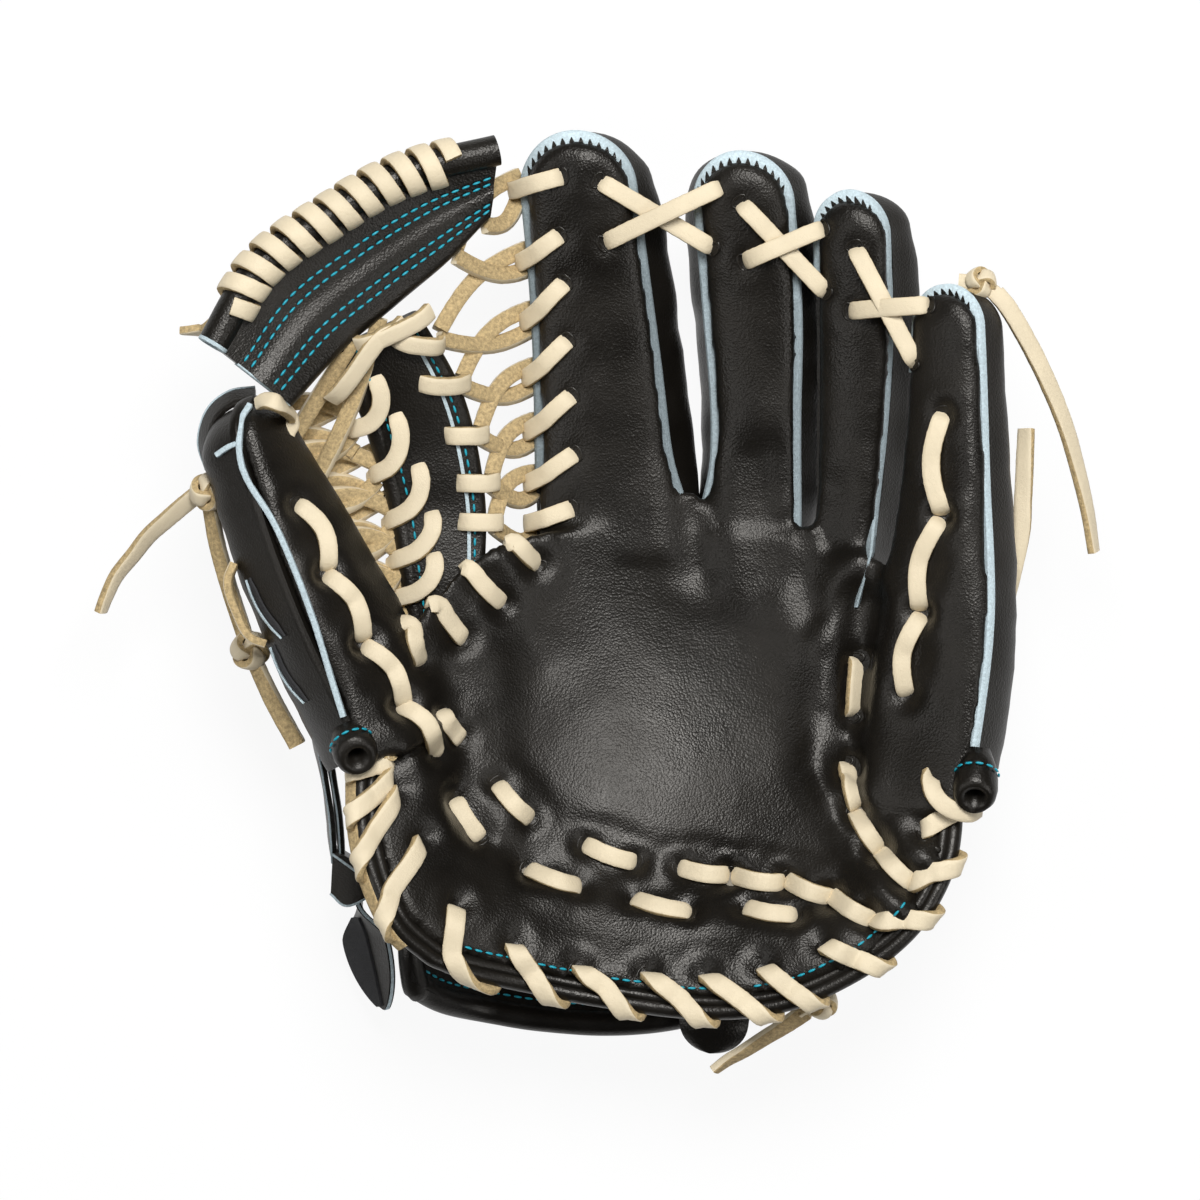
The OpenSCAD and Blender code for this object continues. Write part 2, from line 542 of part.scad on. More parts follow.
// The post of the web, a stitched strap from the palm to the bar
post_route = [[-45.5, 5, 45.5], [-48, 30, 45.5], [-55, 54, 51.5], [-67, 80, 66.3]];
post_widths = [13.5, 19, 21, 21];
post_rings = 8;
function post_frame(u) =
    let (w = curve_slope(post_route, u), side = unit(cross(w, [0, 0, 1])))
    [curve(post_route, u), side, cross(side, w)];
module web_post() {
    color(black) loft([for (i = [0 : post_rings])
        let (u = i / post_rings, fr = post_frame(u), w = curve(post_widths, u))
        [fr[0] + fr[1] * w / 2 + fr[2] * post_t / 2, fr[0] - fr[1] * w / 2 + fr[2] * post_t / 2,
            fr[0] - fr[1] * w / 2 - fr[2] * post_t / 2, fr[0] + fr[1] * w / 2 - fr[2] * post_t / 2]]);
}
function post_edge(u, side) = let (fr = post_frame(u)) fr[0] + fr[1] * side * curve(post_widths, u) / 2;

// A net of crossing laces between two rows of holes
net_sag = 4;
module net_strand(a, b, lift) {
    lace([for (i = [0 : 5])
        let (t = i / 5) lerp(a, b, t) + [0, 0, lift * sin(180 * t) - net_sag * sin(180 * t)]],
        [for (i = [0 : 5]) [0, 0.3, 1]], lace_w * 0.85, lace_t);
}
index_rows_s = [0.06, 0.82];
function index_hole(i) = on_front(INDEX, lerp(index_rows_s[0], index_rows_s[1], i / web_rows), 180, 0)
    - outward(INDEX, 0.5) * (welt_w / 2 + leather_t) - across(INDEX, 0.5) * (lace_w / 2 + gap);
module index_web_lace() {
    color(cream) for (i = [0 : web_rows - 1]) {
        net_strand(post_edge(0.16 + 0.8 * (i + 0.1) / web_rows, 0.98), index_hole(i + 0.72), 2);
        net_strand(post_edge(0.16 + 0.8 * (i + 0.9) / web_rows, 0.98), index_hole(i + 0.28), -2);
    }
}
// A turn of lace over the index finger's edge at each row of the net
module index_edge_lace() {
    color(cream) for (i = [0 : web_rows]) {
        s = lerp(index_rows_s[0], index_rows_s[1], i / web_rows);
        out = outward(INDEX, s);
        left = -across(INDEX, s);
        lace([on_front(INDEX, s + 0.02, 128, 0) - out * leather_t / 2,
            on_front(INDEX, s + 0.018, 136, 0) + out * lace_t * 0.8,
            on_front(INDEX, s, 165, 0) + out * lace_t * 0.9 + left * lace_t / 2,
            on_front(INDEX, s - 0.01, 180, 0) - out * welt_w / 2 + left * (lace_w / 2 + gap + 1),
            on_front(INDEX, s - 0.012, 180, 0) - out * (welt_w + leather_t + 3) + left * (lace_w / 2 + gap)],
            [out, out, unit(out + left), left, left]);
    }
}
thumb_rows_s = [0.1, 0.78];
function thumb_hole(i) = on_front(THUMB, lerp(thumb_rows_s[0], thumb_rows_s[1], i / web_rows), 0, 0)
    + across(THUMB, 0.5) * (lace_w / 2 + welt_proud + gap);
module thumb_web_lace() {
    color(cream) for (i = [0 : web_rows - 1]) {
        net_strand(thumb_hole(i + 0.75), post_edge(0.16 + 0.8 * (i + 0.1) / web_rows, -1.28), 2);
        net_strand(thumb_hole(i + 0.25), post_edge(0.16 + 0.8 * (i + 0.9) / web_rows, -1.28), -2);
    }
}

// Short stitches that tie the foot of the web to the palm
web_base_stitches = [[[-42, -8], [-33, -15]], [[-36, 4], [-26, -3]], [[-28, 14], [-18, 5]]];
module web_base_lace() { color(cream) for (s = web_base_stitches) palm_stitch(s[0], s[1]); }

// Knots and free ends of lace
module knot(at, r) {
    color(cream) translate(at) scale(r) polyhedron(
        [[1, 0, 0], [-1, 0, 0], [0, 1, 0], [0, -1, 0], [0, 0, 1], [0, 0, -1],
            [0.66, 0.66, 0.66], [-0.66, 0.66, 0.66], [0.66, -0.66, 0.66], [-0.66, -0.66, 0.66],
            [0.66, 0.66, -0.66], [-0.66, 0.66, -0.66], [0.66, -0.66, -0.66], [-0.66, -0.66, -0.66]],
        [for (s = [[4, 6, 7, 9, 8], [5, 12, 13, 11, 10], [0, 6, 8, 12, 10], [1, 7, 11, 13, 9],
                [2, 6, 10, 11, 7], [3, 8, 9, 13, 12]])
            for (k = [0 : 3]) [s[0], s[1 + (k + 1) % 4], s[1 + k]]]);
}
knot_r = 5;
module tail(route) {
    color(cream) loft([for (i = [0 : len(route) - 1])
        let (ahead = unit(route[min(i + 1, len(route) - 1)] - route[max(i - 1, 0)]),
            side = unit(cross(ahead, [0, 0, 1])), up = cross(side, ahead), r = lace_w / 2)
        [for (k = [0 : 7]) route[i] + r * (side * cos(45 * k + 22.5) + up * sin(45 * k + 22.5))]]);
}
module heel_knot() { knot(heel_tail_route[0] + [4.9, 2.6, 1.5], knot_r); }
module pinky_knot() { knot(pinky_tail_route[0] + [-4.6, 3, 0.5], knot_r); }
thumb_back_places = [0.1, 0.35, 0.62];
module thumb_back_lace() {
    knot(thumb_tail_route[0] + [4.2, 1.4, 1.2], knot_r);
    color(cream) for (i = [0 : 1])
        lace([for (t = [0 : 0.2 : 1])
            let (s = lerp(thumb_back_places[i], thumb_back_places[i + 1], 0.9 * t))
            on_back(THUMB, s, 142, lace_t * (0.7 - 0.8 * pow(2 * t - 1, 6)))],
            [for (t = [0 : 0.2 : 1]) -0.6 * outward(THUMB, 0.5) - 0.8 * across(THUMB, 0.5)]);
}
module heel_lace_tail() { tail(heel_tail_route); }
module pinky_lace_tail() { tail(pinky_tail_route); }
module pinky_back_tail() { tail(pinky_back_route); }
module thumb_lace_tail() { tail(thumb_tail_route); }
module web_lace_tail() { tail(web_tail_route); }

// The wrist strap's keeper on the thumb side, and the tab that peels off it
keeper_at = [-77, -88, 22];
keeper_r = 6;
keeper_bore_r = 3.4;
strap_route = [[-85, -52, 44], [-84, -62, 38], [-83, -72, 31], [-82.9, -77.2, 26]];
band_strap_route = [[-59.4, -97, 27], [-62, -96, 26], [-66, -93.5, 24.5], [-69.3, -91.8, 23]];
strap_w = 14;
module wrist_strap() {
    color(black) {
        lace(strap_route, [for (p = strap_route) [-1, 0, 0.2]], strap_w, 2 * tab_t);
        lace(band_strap_route, [for (p = band_strap_route) [-0.4, -1, 0]], strap_w, tab_t);
    }
}
module strap_keeper() {
    color(black) translate(keeper_at) rotate_extrude($fn = 32)
        translate([keeper_bore_r, -tab_w / 2]) square([keeper_r - keeper_bore_r, tab_w]);
}
tab_heading = -80;
tab_way = [cos(tab_heading), sin(tab_heading), 0];
tab_side = [-sin(tab_heading), cos(tab_heading), 0];
function tab_at(t, lift) =
    keeper_at + tab_way * (keeper_r + gap + tab_len * t) + tab_side * (lift - 4 * t * t);
module tab_sheet(t0, t1, thick, lift, width) {
    lace([for (i = [0 : 6]) tab_at(lerp(t0, t1, i / 6), lift)], [for (i = [0 : 6]) tab_side], width, thick);
}
hook_t = 1.2;
module strap_tab() { color(black) tab_sheet(0, 1, tab_t, 0, tab_w); }
module strap_hook_pad() {
    color(plastic_grey) tab_sheet(0.25, 0.95, hook_t, -(tab_t + hook_t) / 2 - gap, tab_w - 6);
}

palm_leather();
palm_felt();
heel_felt();
palm_lining();
color(black) finger_front(INDEX);  // index_front
color(black) finger_back(INDEX);  // index_back
color(pale_blue) finger_welt(INDEX);  // index_welt
color(black) finger_front(MIDDLE);  // middle_front
color(black) finger_back(MIDDLE);  // middle_back
color(pale_blue) finger_welt(MIDDLE);  // middle_welt
color(black) finger_front(RING);  // ring_front
color(black) finger_back(RING);  // ring_back
color(pale_blue) finger_welt(RING);  // ring_welt
color(black) finger_front(PINKY);  // pinky_front
color(black) finger_back(PINKY);  // pinky_back
color(pale_blue) finger_welt(PINKY);  // pinky_welt
color(plastic_grey) stiffener(PINKY);  // pinky_stiffener
seam_roll(PINKY, 1);  // pinky_roll
pinky_cuff();
back_panel();
wrist_band();
wrist_roll();
wrist_tongue();
heel_binding();
heel_lace();
palm_lace();
pinky_edge_lace();
index_middle_lace();
middle_ring_lace();
ring_pinky_lace();
web_bar();
web_wrap_lace();
web_post();
index_web_lace();
index_edge_lace();
web_base_lace();
heel_knot();
heel_lace_tail();
pinky_knot();
pinky_lace_tail();
pinky_back_tail();
web_lace_tail();
wrist_strap();
strap_keeper();
color(black) finger_front(THUMB);  // thumb_front
color(black) finger_back(THUMB);  // thumb_back
color(pale_blue) finger_welt(THUMB);  // thumb_welt
color(plastic_grey) stiffener(THUMB);  // thumb_stiffener
seam_roll(THUMB, -1);  // thumb_roll
thumb_pad_leather();
thumb_pad_felt();
thumb_cuff();
thumb_binding();
thumb_heel_lace();
thumb_edge_lace();
thumb_web_lace();
thumb_back_lace();
thumb_lace_tail();
strap_tab();
strap_hook_pad();
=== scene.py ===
"""Looks of a baseball fielder's glove with a trapeze web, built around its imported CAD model."""
import math

import bmesh
import bpy
import numpy as np
from bpy.props import FloatProperty, FloatVectorProperty, IntProperty, PointerProperty
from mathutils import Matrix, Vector, noise
from mathutils.bvhtree import BVHTree


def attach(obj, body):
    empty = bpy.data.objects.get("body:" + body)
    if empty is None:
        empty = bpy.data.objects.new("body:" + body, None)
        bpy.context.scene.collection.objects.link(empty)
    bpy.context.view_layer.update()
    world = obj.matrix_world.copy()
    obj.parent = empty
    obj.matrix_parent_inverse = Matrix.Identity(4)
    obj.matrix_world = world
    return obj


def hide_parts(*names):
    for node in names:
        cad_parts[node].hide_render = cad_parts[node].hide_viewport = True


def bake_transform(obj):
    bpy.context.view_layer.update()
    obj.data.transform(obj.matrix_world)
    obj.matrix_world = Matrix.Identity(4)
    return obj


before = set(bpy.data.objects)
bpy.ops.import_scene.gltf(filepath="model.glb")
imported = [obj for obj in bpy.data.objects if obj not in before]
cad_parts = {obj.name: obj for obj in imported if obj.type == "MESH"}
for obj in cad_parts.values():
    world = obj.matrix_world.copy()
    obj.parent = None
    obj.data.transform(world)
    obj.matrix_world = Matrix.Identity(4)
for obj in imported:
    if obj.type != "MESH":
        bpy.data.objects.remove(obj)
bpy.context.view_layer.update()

bl_info = {
    "name": "Fielder's Glove",
    "version": (1, 0, 0),
    "blender": (4, 5, 0),
    "location": "3D View > Sidebar > Glove",
    "description": "Dresses the glove's CAD model in leather, rawhide lace and thread",
    "category": "Object",
}

MM = 0.001

# Places are in millimetres: +X to the little finger, +Y to the fingertips, +Z out of the pocket.

# The palm's height field, and the outlines of the palm and of the thumb's heel pad
POCKET = (5, -15)
POCKET_Z = 38
PALM_RISE = {"pinky": (30, 102), "thumb": (40, 82), "roots": (3, 40), "heel": (32, 109)}
PALM_TOP = ((-44, 8), (-22, 17.5), (-1, 20), (18, 21.5), (29, 18), (44, 18), (56, 16.4), (62, 11.3),
            (76, 11))
HEEL_EDGE = ((-40.5, -108.5), (-26, -112), (-2, -117), (28, -120.5), (52, -118), (72, -109), (87, -97),
             (95.5, -83), (98.5, -70), (98.5, -54))
PALM_LEFT = ((-44, 8), (-46.8, -28), (-43.8, -70), (-40.5, -108.5))
PALM_RIGHT = ((76, 11), (71, -8), (70.5, -31), (75, -50.5), (86, -52), (98.5, -54))
PAD_TOP = ((-69, -44), (-61, -37.6), (-46, -28))
PAD_RIGHT = ((-46, -28), (-41, -70), (-38, -107.5))
THUMB_EDGE = ((-51.5, -103.5), (-60.5, -94), (-68, -72), (-69, -44))
PAD_BOTTOM = ((-51.5, -103.5), (-47, -106), (-38, -107.5))

# The web's bar, from the thumb's end to the index finger's
BAR_ROUTE = ((-117, 73, 84), (-103.8, 95.2, 82), (-82.5, 111.7, 79), (-58.7, 124.6, 75), (-33, 131.5, 71))

# Where pieces bend between the palm and the thumb, each from its first point to its second:
# the leather over the fold, the bar that leans on index finger and thumb, and the net from post to thumb
BENDS = {
    "fold": ((-39.2, -59.5, 60), (-59.1, -61.2, 60)),
    "bar": (BAR_ROUTE[-1], BAR_ROUTE[0]),
    "net": ((-62, 20, 50), (-85, 20, 55)),
}

# Free ends of lace, by the CAD node that each stands for: the body and the route
TAILS = {
    "thumb_lace_tail": ("thumb", (
        (-123, 29, 62), (-127, 26, 59), (-132, 22, 55), (-138, 17, 51), (-143, 11, 48), (-148, 5, 46),
        (-151, -1, 45), (-153, -6, 44))),
    "pinky_lace_tail": ("palm", (
        (115.5, 89, 70), (119.5, 84, 70), (126, 73, 68), (132, 61, 65), (137, 49, 61), (141, 36, 57),
        (144, 24, 54), (146, 12, 52))),
    "pinky_back_tail": ("palm", (
        (118.2, -7, 51.4), (121.5, 6, 54), (124, 18, 55), (124.5, 28, 55), (125, 38, 55), (125.5, 49, 54))),
    "heel_lace_tail": ("palm", (
        (59, -125.5, 62), (53, -130, 57), (47, -134, 52), (41, -138, 50), (36, -141, 48), (32, -144, 47))),
}
WEB_TAIL = ((-110.5, 83.4, 76), (-116, 80.5, 71), (-120, 78.5, 65), (-124, 78, 64), (-127, 78, 63))

# Lace stitches on the front, from hole to hole
PALM_STITCHES = (
    ((-45.9, -62.4), (-38.4, -73.8)), ((-33.3, -57.9), (-23.4, -68.4)), ((-49.8, -36), (-44.4, -44.4)),
    ((-6.9, -75.9), (8.1, -81.3)), ((-24.3, -83.4), (-8.4, -88.8)), ((7.5, -92.4), (24.6, -96.3)),
    ((41.1, -94.8), (56.1, -96.9)), ((21.6, -82.8), (36, -84.9)), ((37.5, -84.9), (52.5, -87)),
    ((53.7, -86.1), (66.9, -91.2)), ((66.6, -90.3), (79.2, -97.8)), ((74.7, -20.4), (73.5, -36.9)),
    ((71.4, -51.9), (74.1, -64.8)), ((73.8, -66), (81, -77.4)), ((81, -77.4), (90.6, -87)))
PINKY_SCALLOPS = (((99.6, 53.1), (99.6, 23.1)), ((99, 21.6), (93, -5.4)), ((93.6, -6.9), (89.1, -30.9)))
THUMB_SCALLOPS = (
    ((-92.4, 26.1), (-83.4, 6.6)), ((-84, 5.1), (-72.9, -14.4)), ((-72.9, -15.9), (-60.9, -33.9)),
    ((-62.4, -33.9), (-51.9, -48.9)))
BASE_STITCHES = (
    ((-30.3, 19.5), (-21.3, 8.1)), ((-43.8, 10.8), (-31.8, -3.6)), ((-52.5, 0.3), (-43.5, -14.4)),
    ((-58.8, -6.3), (-56.4, -21.6)))
CROSSINGS = {
    "index_middle_lace": (((-2.4, 122.7), (31.2, 103.2)), ((-0.9, 104.7), (28.2, 120))),
    "middle_ring_lace": (((39.6, 116.1), (65.1, 89.7)), ((41.1, 99), (64.2, 108.6))),
    "ring_pinky_lace": (((73.5, 102.6), (89.1, 68.1)), ((72.6, 84), (95.1, 85.2))),
}
# Turns of lace over the rolled edges, from the hole to the outside
HEEL_WRAPS = (
    ((-45.9, -93.9), (-39.9, -112.8)), ((-29.4, -105.9), (-17.4, -120.9)), ((-9.3, -112.5), (5.1, -124.8)),
    ((11.1, -114.3), (27.6, -126.9)), ((28.5, -114.9), (47.1, -129.9)), ((46.2, -112.5), (63, -127.8)),
    ((64.2, -105.9), (84, -115.8)), ((79.2, -97.8), (101.1, -100.8)), ((90, -87.6), (108, -82.8)),
    ((94.2, -72), (110.1, -63.3)))
THUMB_WRAPS = (
    ((-65.4, -48.9), (-81.9, -53.4)), ((-65.4, -53.4), (-78.9, -66)), ((-63.3, -58.8), (-75.6, -80.4)),
    ((-56.4, -73.5), (-67.5, -98.4)))
INDEX_EDGE_WRAPS = (
    ((-14.1, 124.2), (-29.1, 121.8)), ((-14.7, 106.8), (-29.1, 100.2)), ((-13.2, 92.7), (-27.9, 82.2)),
    ((-12.3, 75.6), (-26.4, 65.1)), ((-11.1, 59.1), (-25.5, 48.6)), ((-10.2, 41.7), (-27.6, 33)),
    ((-11.1, 25.2), (-32.4, 19.2)))


def floats(v):
    return np.asarray(v, float)


def row(v):
    """Numbers as a row, or one number as a row of one."""
    return np.atleast_1d(floats(v))


def column(v):
    return floats(v).reshape(-1, 1)


def unit(v):
    """Vectors of length one along v."""
    v = floats(v)
    return v / np.maximum(np.linalg.norm(v, axis=-1, keepdims=True), 1e-9)


def lengths(v):
    """The length of each row."""
    return np.linalg.norm(v, axis=1)


def circle(count):
    """Angles at even steps once round."""
    return np.linspace(0, 2 * math.pi, count, endpoint=False)


def around(x, y, angles):
    """Directions at angles from x towards y, for each of their rows."""
    angles = angles[:, None]
    return x[:, None] * np.cos(angles) + y[:, None] * np.sin(angles)


def lerp(a, b, t):
    a, b = floats(a), floats(b)
    return a + (b - a) * t


def smooth_step(a, b, x):
    t = np.clip((floats(x) - a) / (b - a), 0, 1)
    return t * t * (3 - 2 * t)


def curve(points, u):
    """Places on a smooth curve through points, with u from 0 to 1."""
    p = floats(points)
    if p.ndim == 1:
        p = p[:, None]
    n = len(p) - 1
    u = row(u)
    i = np.clip(np.floor(u * n).astype(int), 0, n - 1)
    t = (u * n - i)[:, None]
    b, c = p[i], p[i + 1]
    a = np.where((i > 0)[:, None], p[np.maximum(i - 1, 0)], 2 * b - c)
    d = np.where((i + 2 <= n)[:, None], p[np.minimum(i + 2, n)], 2 * c - b)
    return 0.5 * (2 * b + (c - a) * t + (2 * a - 5 * b + 4 * c - d) * t * t
                  + (3 * b - a - 3 * c + d) * t ** 3)


def heading(points, u, step=0.01):
    """The direction of the smooth curve through points, at u."""
    return unit(curve(points, np.clip(u + step, 0, 1)) - curve(points, np.clip(u - step, 0, 1)))


def beside(way):
    """The direction to the right of a way in the plan."""
    return np.stack([way[:, 1], -way[:, 0]], axis=1)


def to_round_end(start, bend, steps, end_steps):
    """Shares from start to 1, closer together after bend, where an outline is rounded off."""
    turn = np.linspace(0, math.pi / 2, end_steps)[1:]
    return np.concatenate([np.linspace(start, bend, steps), bend + (1 - bend) * np.sin(turn)])


def ways(path):
    """The direction of a path at each of its points."""
    return unit(np.gradient(path, axis=0))


def level_axes(way):
    """Directions beside a way, level with the ground, and up from it."""
    side = unit(np.cross(way, (0, 0, 1)))
    return side, np.cross(side, way)


def turned(x, y, angles):
    """Two directions turned in their plane, from x towards y, row by row."""
    c, n = np.cos(angles)[:, None], np.sin(angles)[:, None]
    return x * c + y * n, y * c - x * n


def run_of(path):
    """The distance along a path to each of its points."""
    return np.concatenate([[0], np.cumsum(lengths(np.diff(path, axis=0)))])


def read_off(marks, run, rows):
    """What rows of numbers, known at the places of a run, come to at the marks."""
    return np.stack([np.interp(marks, run, v) for v in floats(rows).T], axis=1)


def spaced(points, step, also=None):
    """Points at even steps on the smooth curve through points, and a list carried along with them."""
    fine = curve(points, np.linspace(0, 1, 16 * (len(points) - 1) + 1))
    run = run_of(fine)
    marks = np.linspace(0, run[-1], max(3, int(round(run[-1] / step)) + 1))
    path = read_off(marks, run, fine)
    if also is None:
        return path
    where = np.interp(marks, run, np.linspace(0, len(points) - 1, len(fine)))
    return path, read_off(where, np.arange(len(points)), also)


def bell(d, width):
    """A bell curve: 1 in the middle, falling with the distance d."""
    return np.exp(-(d / width) ** 2)


def rounded(t, start, least=0.0):
    """The width of a strip that ends in a half round, by share of its length: whole up to start."""
    return np.where(t > start, np.sqrt(np.clip(1 - ((t - start) / (1 - start)) ** 2, least, 1)), 1)


def running_mean(values, reach):
    """Values averaged with their neighbours, so many on each side."""
    count = 2 * reach + 1
    return np.convolve(np.pad(values, reach, mode="edge"), np.ones(count) / count, "valid")


def bowl(d, ahead, behind):
    """A rise with the square of a distance, with a height and a reach for either side."""
    return np.where(d > 0, ahead[0] * (d / ahead[1]) ** 2, behind[0] * (d / behind[1]) ** 2)


def palm_z(x, y):
    """Height of the palm's surface."""
    across = bowl(floats(x) - POCKET[0], PALM_RISE["pinky"], PALM_RISE["thumb"])
    along = bowl(floats(y) - POCKET[1], PALM_RISE["roots"], PALM_RISE["heel"])
    return POCKET_Z + across + along


def patch(top, bottom, left, right, p, q):
    """A blend of four edges, with p across and q from the top edge to the bottom one."""
    top, bottom, left, right = (floats(e) for e in (top, bottom, left, right))
    p, q = p[:, None], q[:, None]
    return ((1 - q) * curve(top, p[:, 0]) + q * curve(bottom, p[:, 0]) + (1 - p) * curve(left, q[:, 0])
            + p * curve(right, q[:, 0]) - (1 - p) * (1 - q) * top[0] - p * (1 - q) * top[-1]
            - (1 - p) * q * bottom[0] - p * q * bottom[-1])


class Finger:
    """A finger's centre line, axes and leather surfaces, as in the CAD source."""

    curl, roundness, seam, base = 1.6, 0.95, 1.9, 0.9
    # The padded front: its depth, how far it stays inside the CAD's, and how much narrower it is on the left
    pad_depth, pad_inset, slim_left = 6.5, 0.6, 1.9
    back_thickness = 2.6

    def __init__(self, root, lean, rise, bow, length, widths, tilts, backs, bulge, flare=(0, 0),
                 back_start=-0.1):
        self.root, self.lean, self.rise, self.bow = floats(root), math.radians(lean), rise, bow
        self.length, self.widths, self.tilts, self.backs, self.flare = length, widths, tilts, backs, flare
        self.bulge, self.back_start = bulge, back_start
        self.tip = 1 - self.roundness * widths[3] / length

    def half_width(self, s):
        return curve(self.widths, np.clip(s / self.tip, 0, 1))[:, 0]

    def centre(self, s):
        s = row(s)
        c, n = math.cos(self.lean), math.sin(self.lean)
        return (self.root + np.outer(self.length * s, (-n, c, 0))
                + np.outer(self.bow * np.sin(math.pi * s), (c, n, 0))
                + np.outer(self.rise * np.sign(s) * np.abs(s) ** self.curl, (0, 0, 1)))

    def axes(self, s):
        """Directions across the finger and out of its front."""
        s = row(s)
        ahead = unit(self.centre(s + 0.02) - self.centre(s - 0.02))
        return turned(*level_axes(ahead), np.radians(lerp(*self.tilts, s)))

    def stations(self, rings, tip_rings, grow, tip_grow, start):
        """Places along the finger, half widths and shares of depth, moved out by grow at the sides."""
        s = np.linspace(start, self.tip, rings + 1)
        w = self.half_width(s) + grow
        turn = np.radians(np.linspace(0, 88, tip_rings + 1)[1:])
        tip_s = self.tip + (1 - self.tip + tip_grow / self.length) * np.sin(turn)
        tip_w = (self.widths[3] + grow) * np.cos(turn)
        share = np.concatenate([np.ones(rings + 1), np.cos(turn) ** 0.6])
        return np.concatenate([s, tip_s]), np.concatenate([w, tip_w]), share

    def sides(self, s, w, cosines):
        """Sideways places, with the root flared on each side by its own amount."""
        fade = bell(np.maximum(s, 0), 0.11)[:, None]
        extra = np.where(cosines > 0, self.flare[0], self.flare[1])[None, :] * fade
        return (w[:, None] + extra) * cosines[None, :]

    def surface(self, s, side, high):
        """Points beside and above the centre line, in rows along the finger."""
        across, out = self.axes(s)
        return self.centre(s)[:, None] + across[:, None] * side[..., None] + out[:, None] * high[..., None]

    def front_rings(self):
        """Closed rings of the padded front, from its root to its tip."""
        s, w, share = self.stations(44, 16, -0.2, -1.3, -0.1)
        a = np.linspace(0, math.pi, 27)
        depth = self.pad_depth * lerp(0.72, 1, np.clip(np.maximum(s, 0) / 0.35, 0, 1)) - self.pad_inset
        side = self.sides(s, w, np.cos(a))
        slim = self.slim_left * smooth_step(0, 0.16, s)[:, None] / self.widths[1]
        side = np.where(side < 0, side * (1 - slim), side)
        high = self.base + (depth * share)[:, None] * np.sin(a)[None, :] ** 0.72
        under = self.sides(s, w, np.linspace(-0.8, 0.8, 9))
        under_high = np.full(under.shape, self.base - 0.2)
        return np.concatenate([self.surface(s, side, high), self.surface(s, under, under_high)], axis=1)

    def back_surface(self, grow):
        """The back's surface as rows of points, from side to side, bulging past the seam."""
        s, w, share = self.stations(34, 12, grow - 0.4, grow - 1, self.back_start)
        a = np.linspace(0, math.pi, 41)
        depth = np.maximum(lerp(*self.backs, np.maximum(s, 0)) + grow, 0.4) * share
        side = self.sides(s, w, np.sign(np.cos(a)) * np.abs(np.cos(a)) ** 0.5)
        swell = smooth_step(-0.15, 0.15, s) * (1 - 0.45 * smooth_step(0.7, 1, s)) * share ** 2
        bulge = np.where(a < math.pi / 2, self.bulge[0], self.bulge[1])
        side = side + swell[:, None] * bulge * np.sin(2 * a)[None, :]
        low = self.seam - 0.7 + depth[:, None] * (np.sin(a)[None, :] ** 0.8)
        return self.surface(s, side, -low)

    def seam_path(self, grows, tip_grow, side_from, side_to):
        """The seam line up one side, round the tip and down the other, with directions out and up."""
        rows = []
        for sign, first, grow in ((1, side_from, grows[0]), (-1, side_to, grows[1])):
            s, w, _ = self.stations(46, 18, grow, tip_grow, min(0, first))
            keep = s >= first
            side = self.sides(s, w * (1 + 2.2 * np.minimum(s, 0)), np.array([float(sign)]))[:, 0]
            across, out = self.axes(s)
            rows.append(((self.centre(s) + across * side[:, None])[keep], out[keep]))
        return tuple(np.concatenate([up, down[::-1]]) for up, down in zip(*rows))

    def on_back(self, s, a, lift):
        """A point on the back leather at angle a from one side, lifted, and the direction out of it."""
        s = row(s)
        across, out = self.axes(s)
        w = self.half_width(s) + lift
        depth = lerp(*self.backs, s) + lift
        c, n = math.cos(math.radians(a)), math.sin(math.radians(a))
        side = w * math.copysign(abs(c) ** 0.65, c)
        spot = self.centre(s) + across * side[:, None] - out * (self.seam + depth * n ** 0.8)[:, None]
        return spot, unit(across * c - out * n)


FINGERS = {
    "index": Finger(root=(-1, 22, 35), lean=5.2, rise=25, bow=1.5, length=115.5,
                    widths=(21.5, 20, 18.4, 17.5), tilts=(8, 10), backs=(30, 14), bulge=(8, 2.5),
                    flare=(3.5, 0)),
    "middle": Finger(root=(44, 20, 38), lean=2.8, rise=24, bow=2.2, length=111, widths=(14, 13.6, 15, 15.2),
                     tilts=(13, 15), backs=(30, 14), bulge=(6.5, 8.5), flare=(0, 3.5)),
    "ring": Finger(root=(71, 13, 44), lean=-0.8, rise=22, bow=2, length=106, widths=(10, 11.6, 12.8, 12.6),
                   tilts=(22, 25), backs=(25, 14), bulge=(5.5, 2)),
    "pinky": Finger(root=(92, -50, 63), lean=-3.65, rise=11, bow=3, length=141, widths=(21, 21, 15.5, 12.5),
                    tilts=(36, 36), backs=(22, 13), bulge=(2, 0), back_start=0),
    "thumb": Finger(root=(-63, -36, 65.5), lean=25.8, rise=7.5, bow=-1, length=103,
                    widths=(20, 20.5, 18.5, 14), tilts=(-42, -56), backs=(26, 16), bulge=(0, 0.5),
                    back_start=-0.06),
}


# Meshes

# Edges that turn by more than this many degrees are shown sharp
SHARP = 55
# Points closer than this, in metres, are merged
MERGE = 1e-6


def quads(n, m, closed=False):
    """Faces between n rings of m points each, and from the last ring to the first if closed."""
    return [(r * m + j, r * m + (j + 1) % m, (r + 1) % n * m + (j + 1) % m, (r + 1) % n * m + j)
            for r in range(n if closed else n - 1) for j in range(m)]


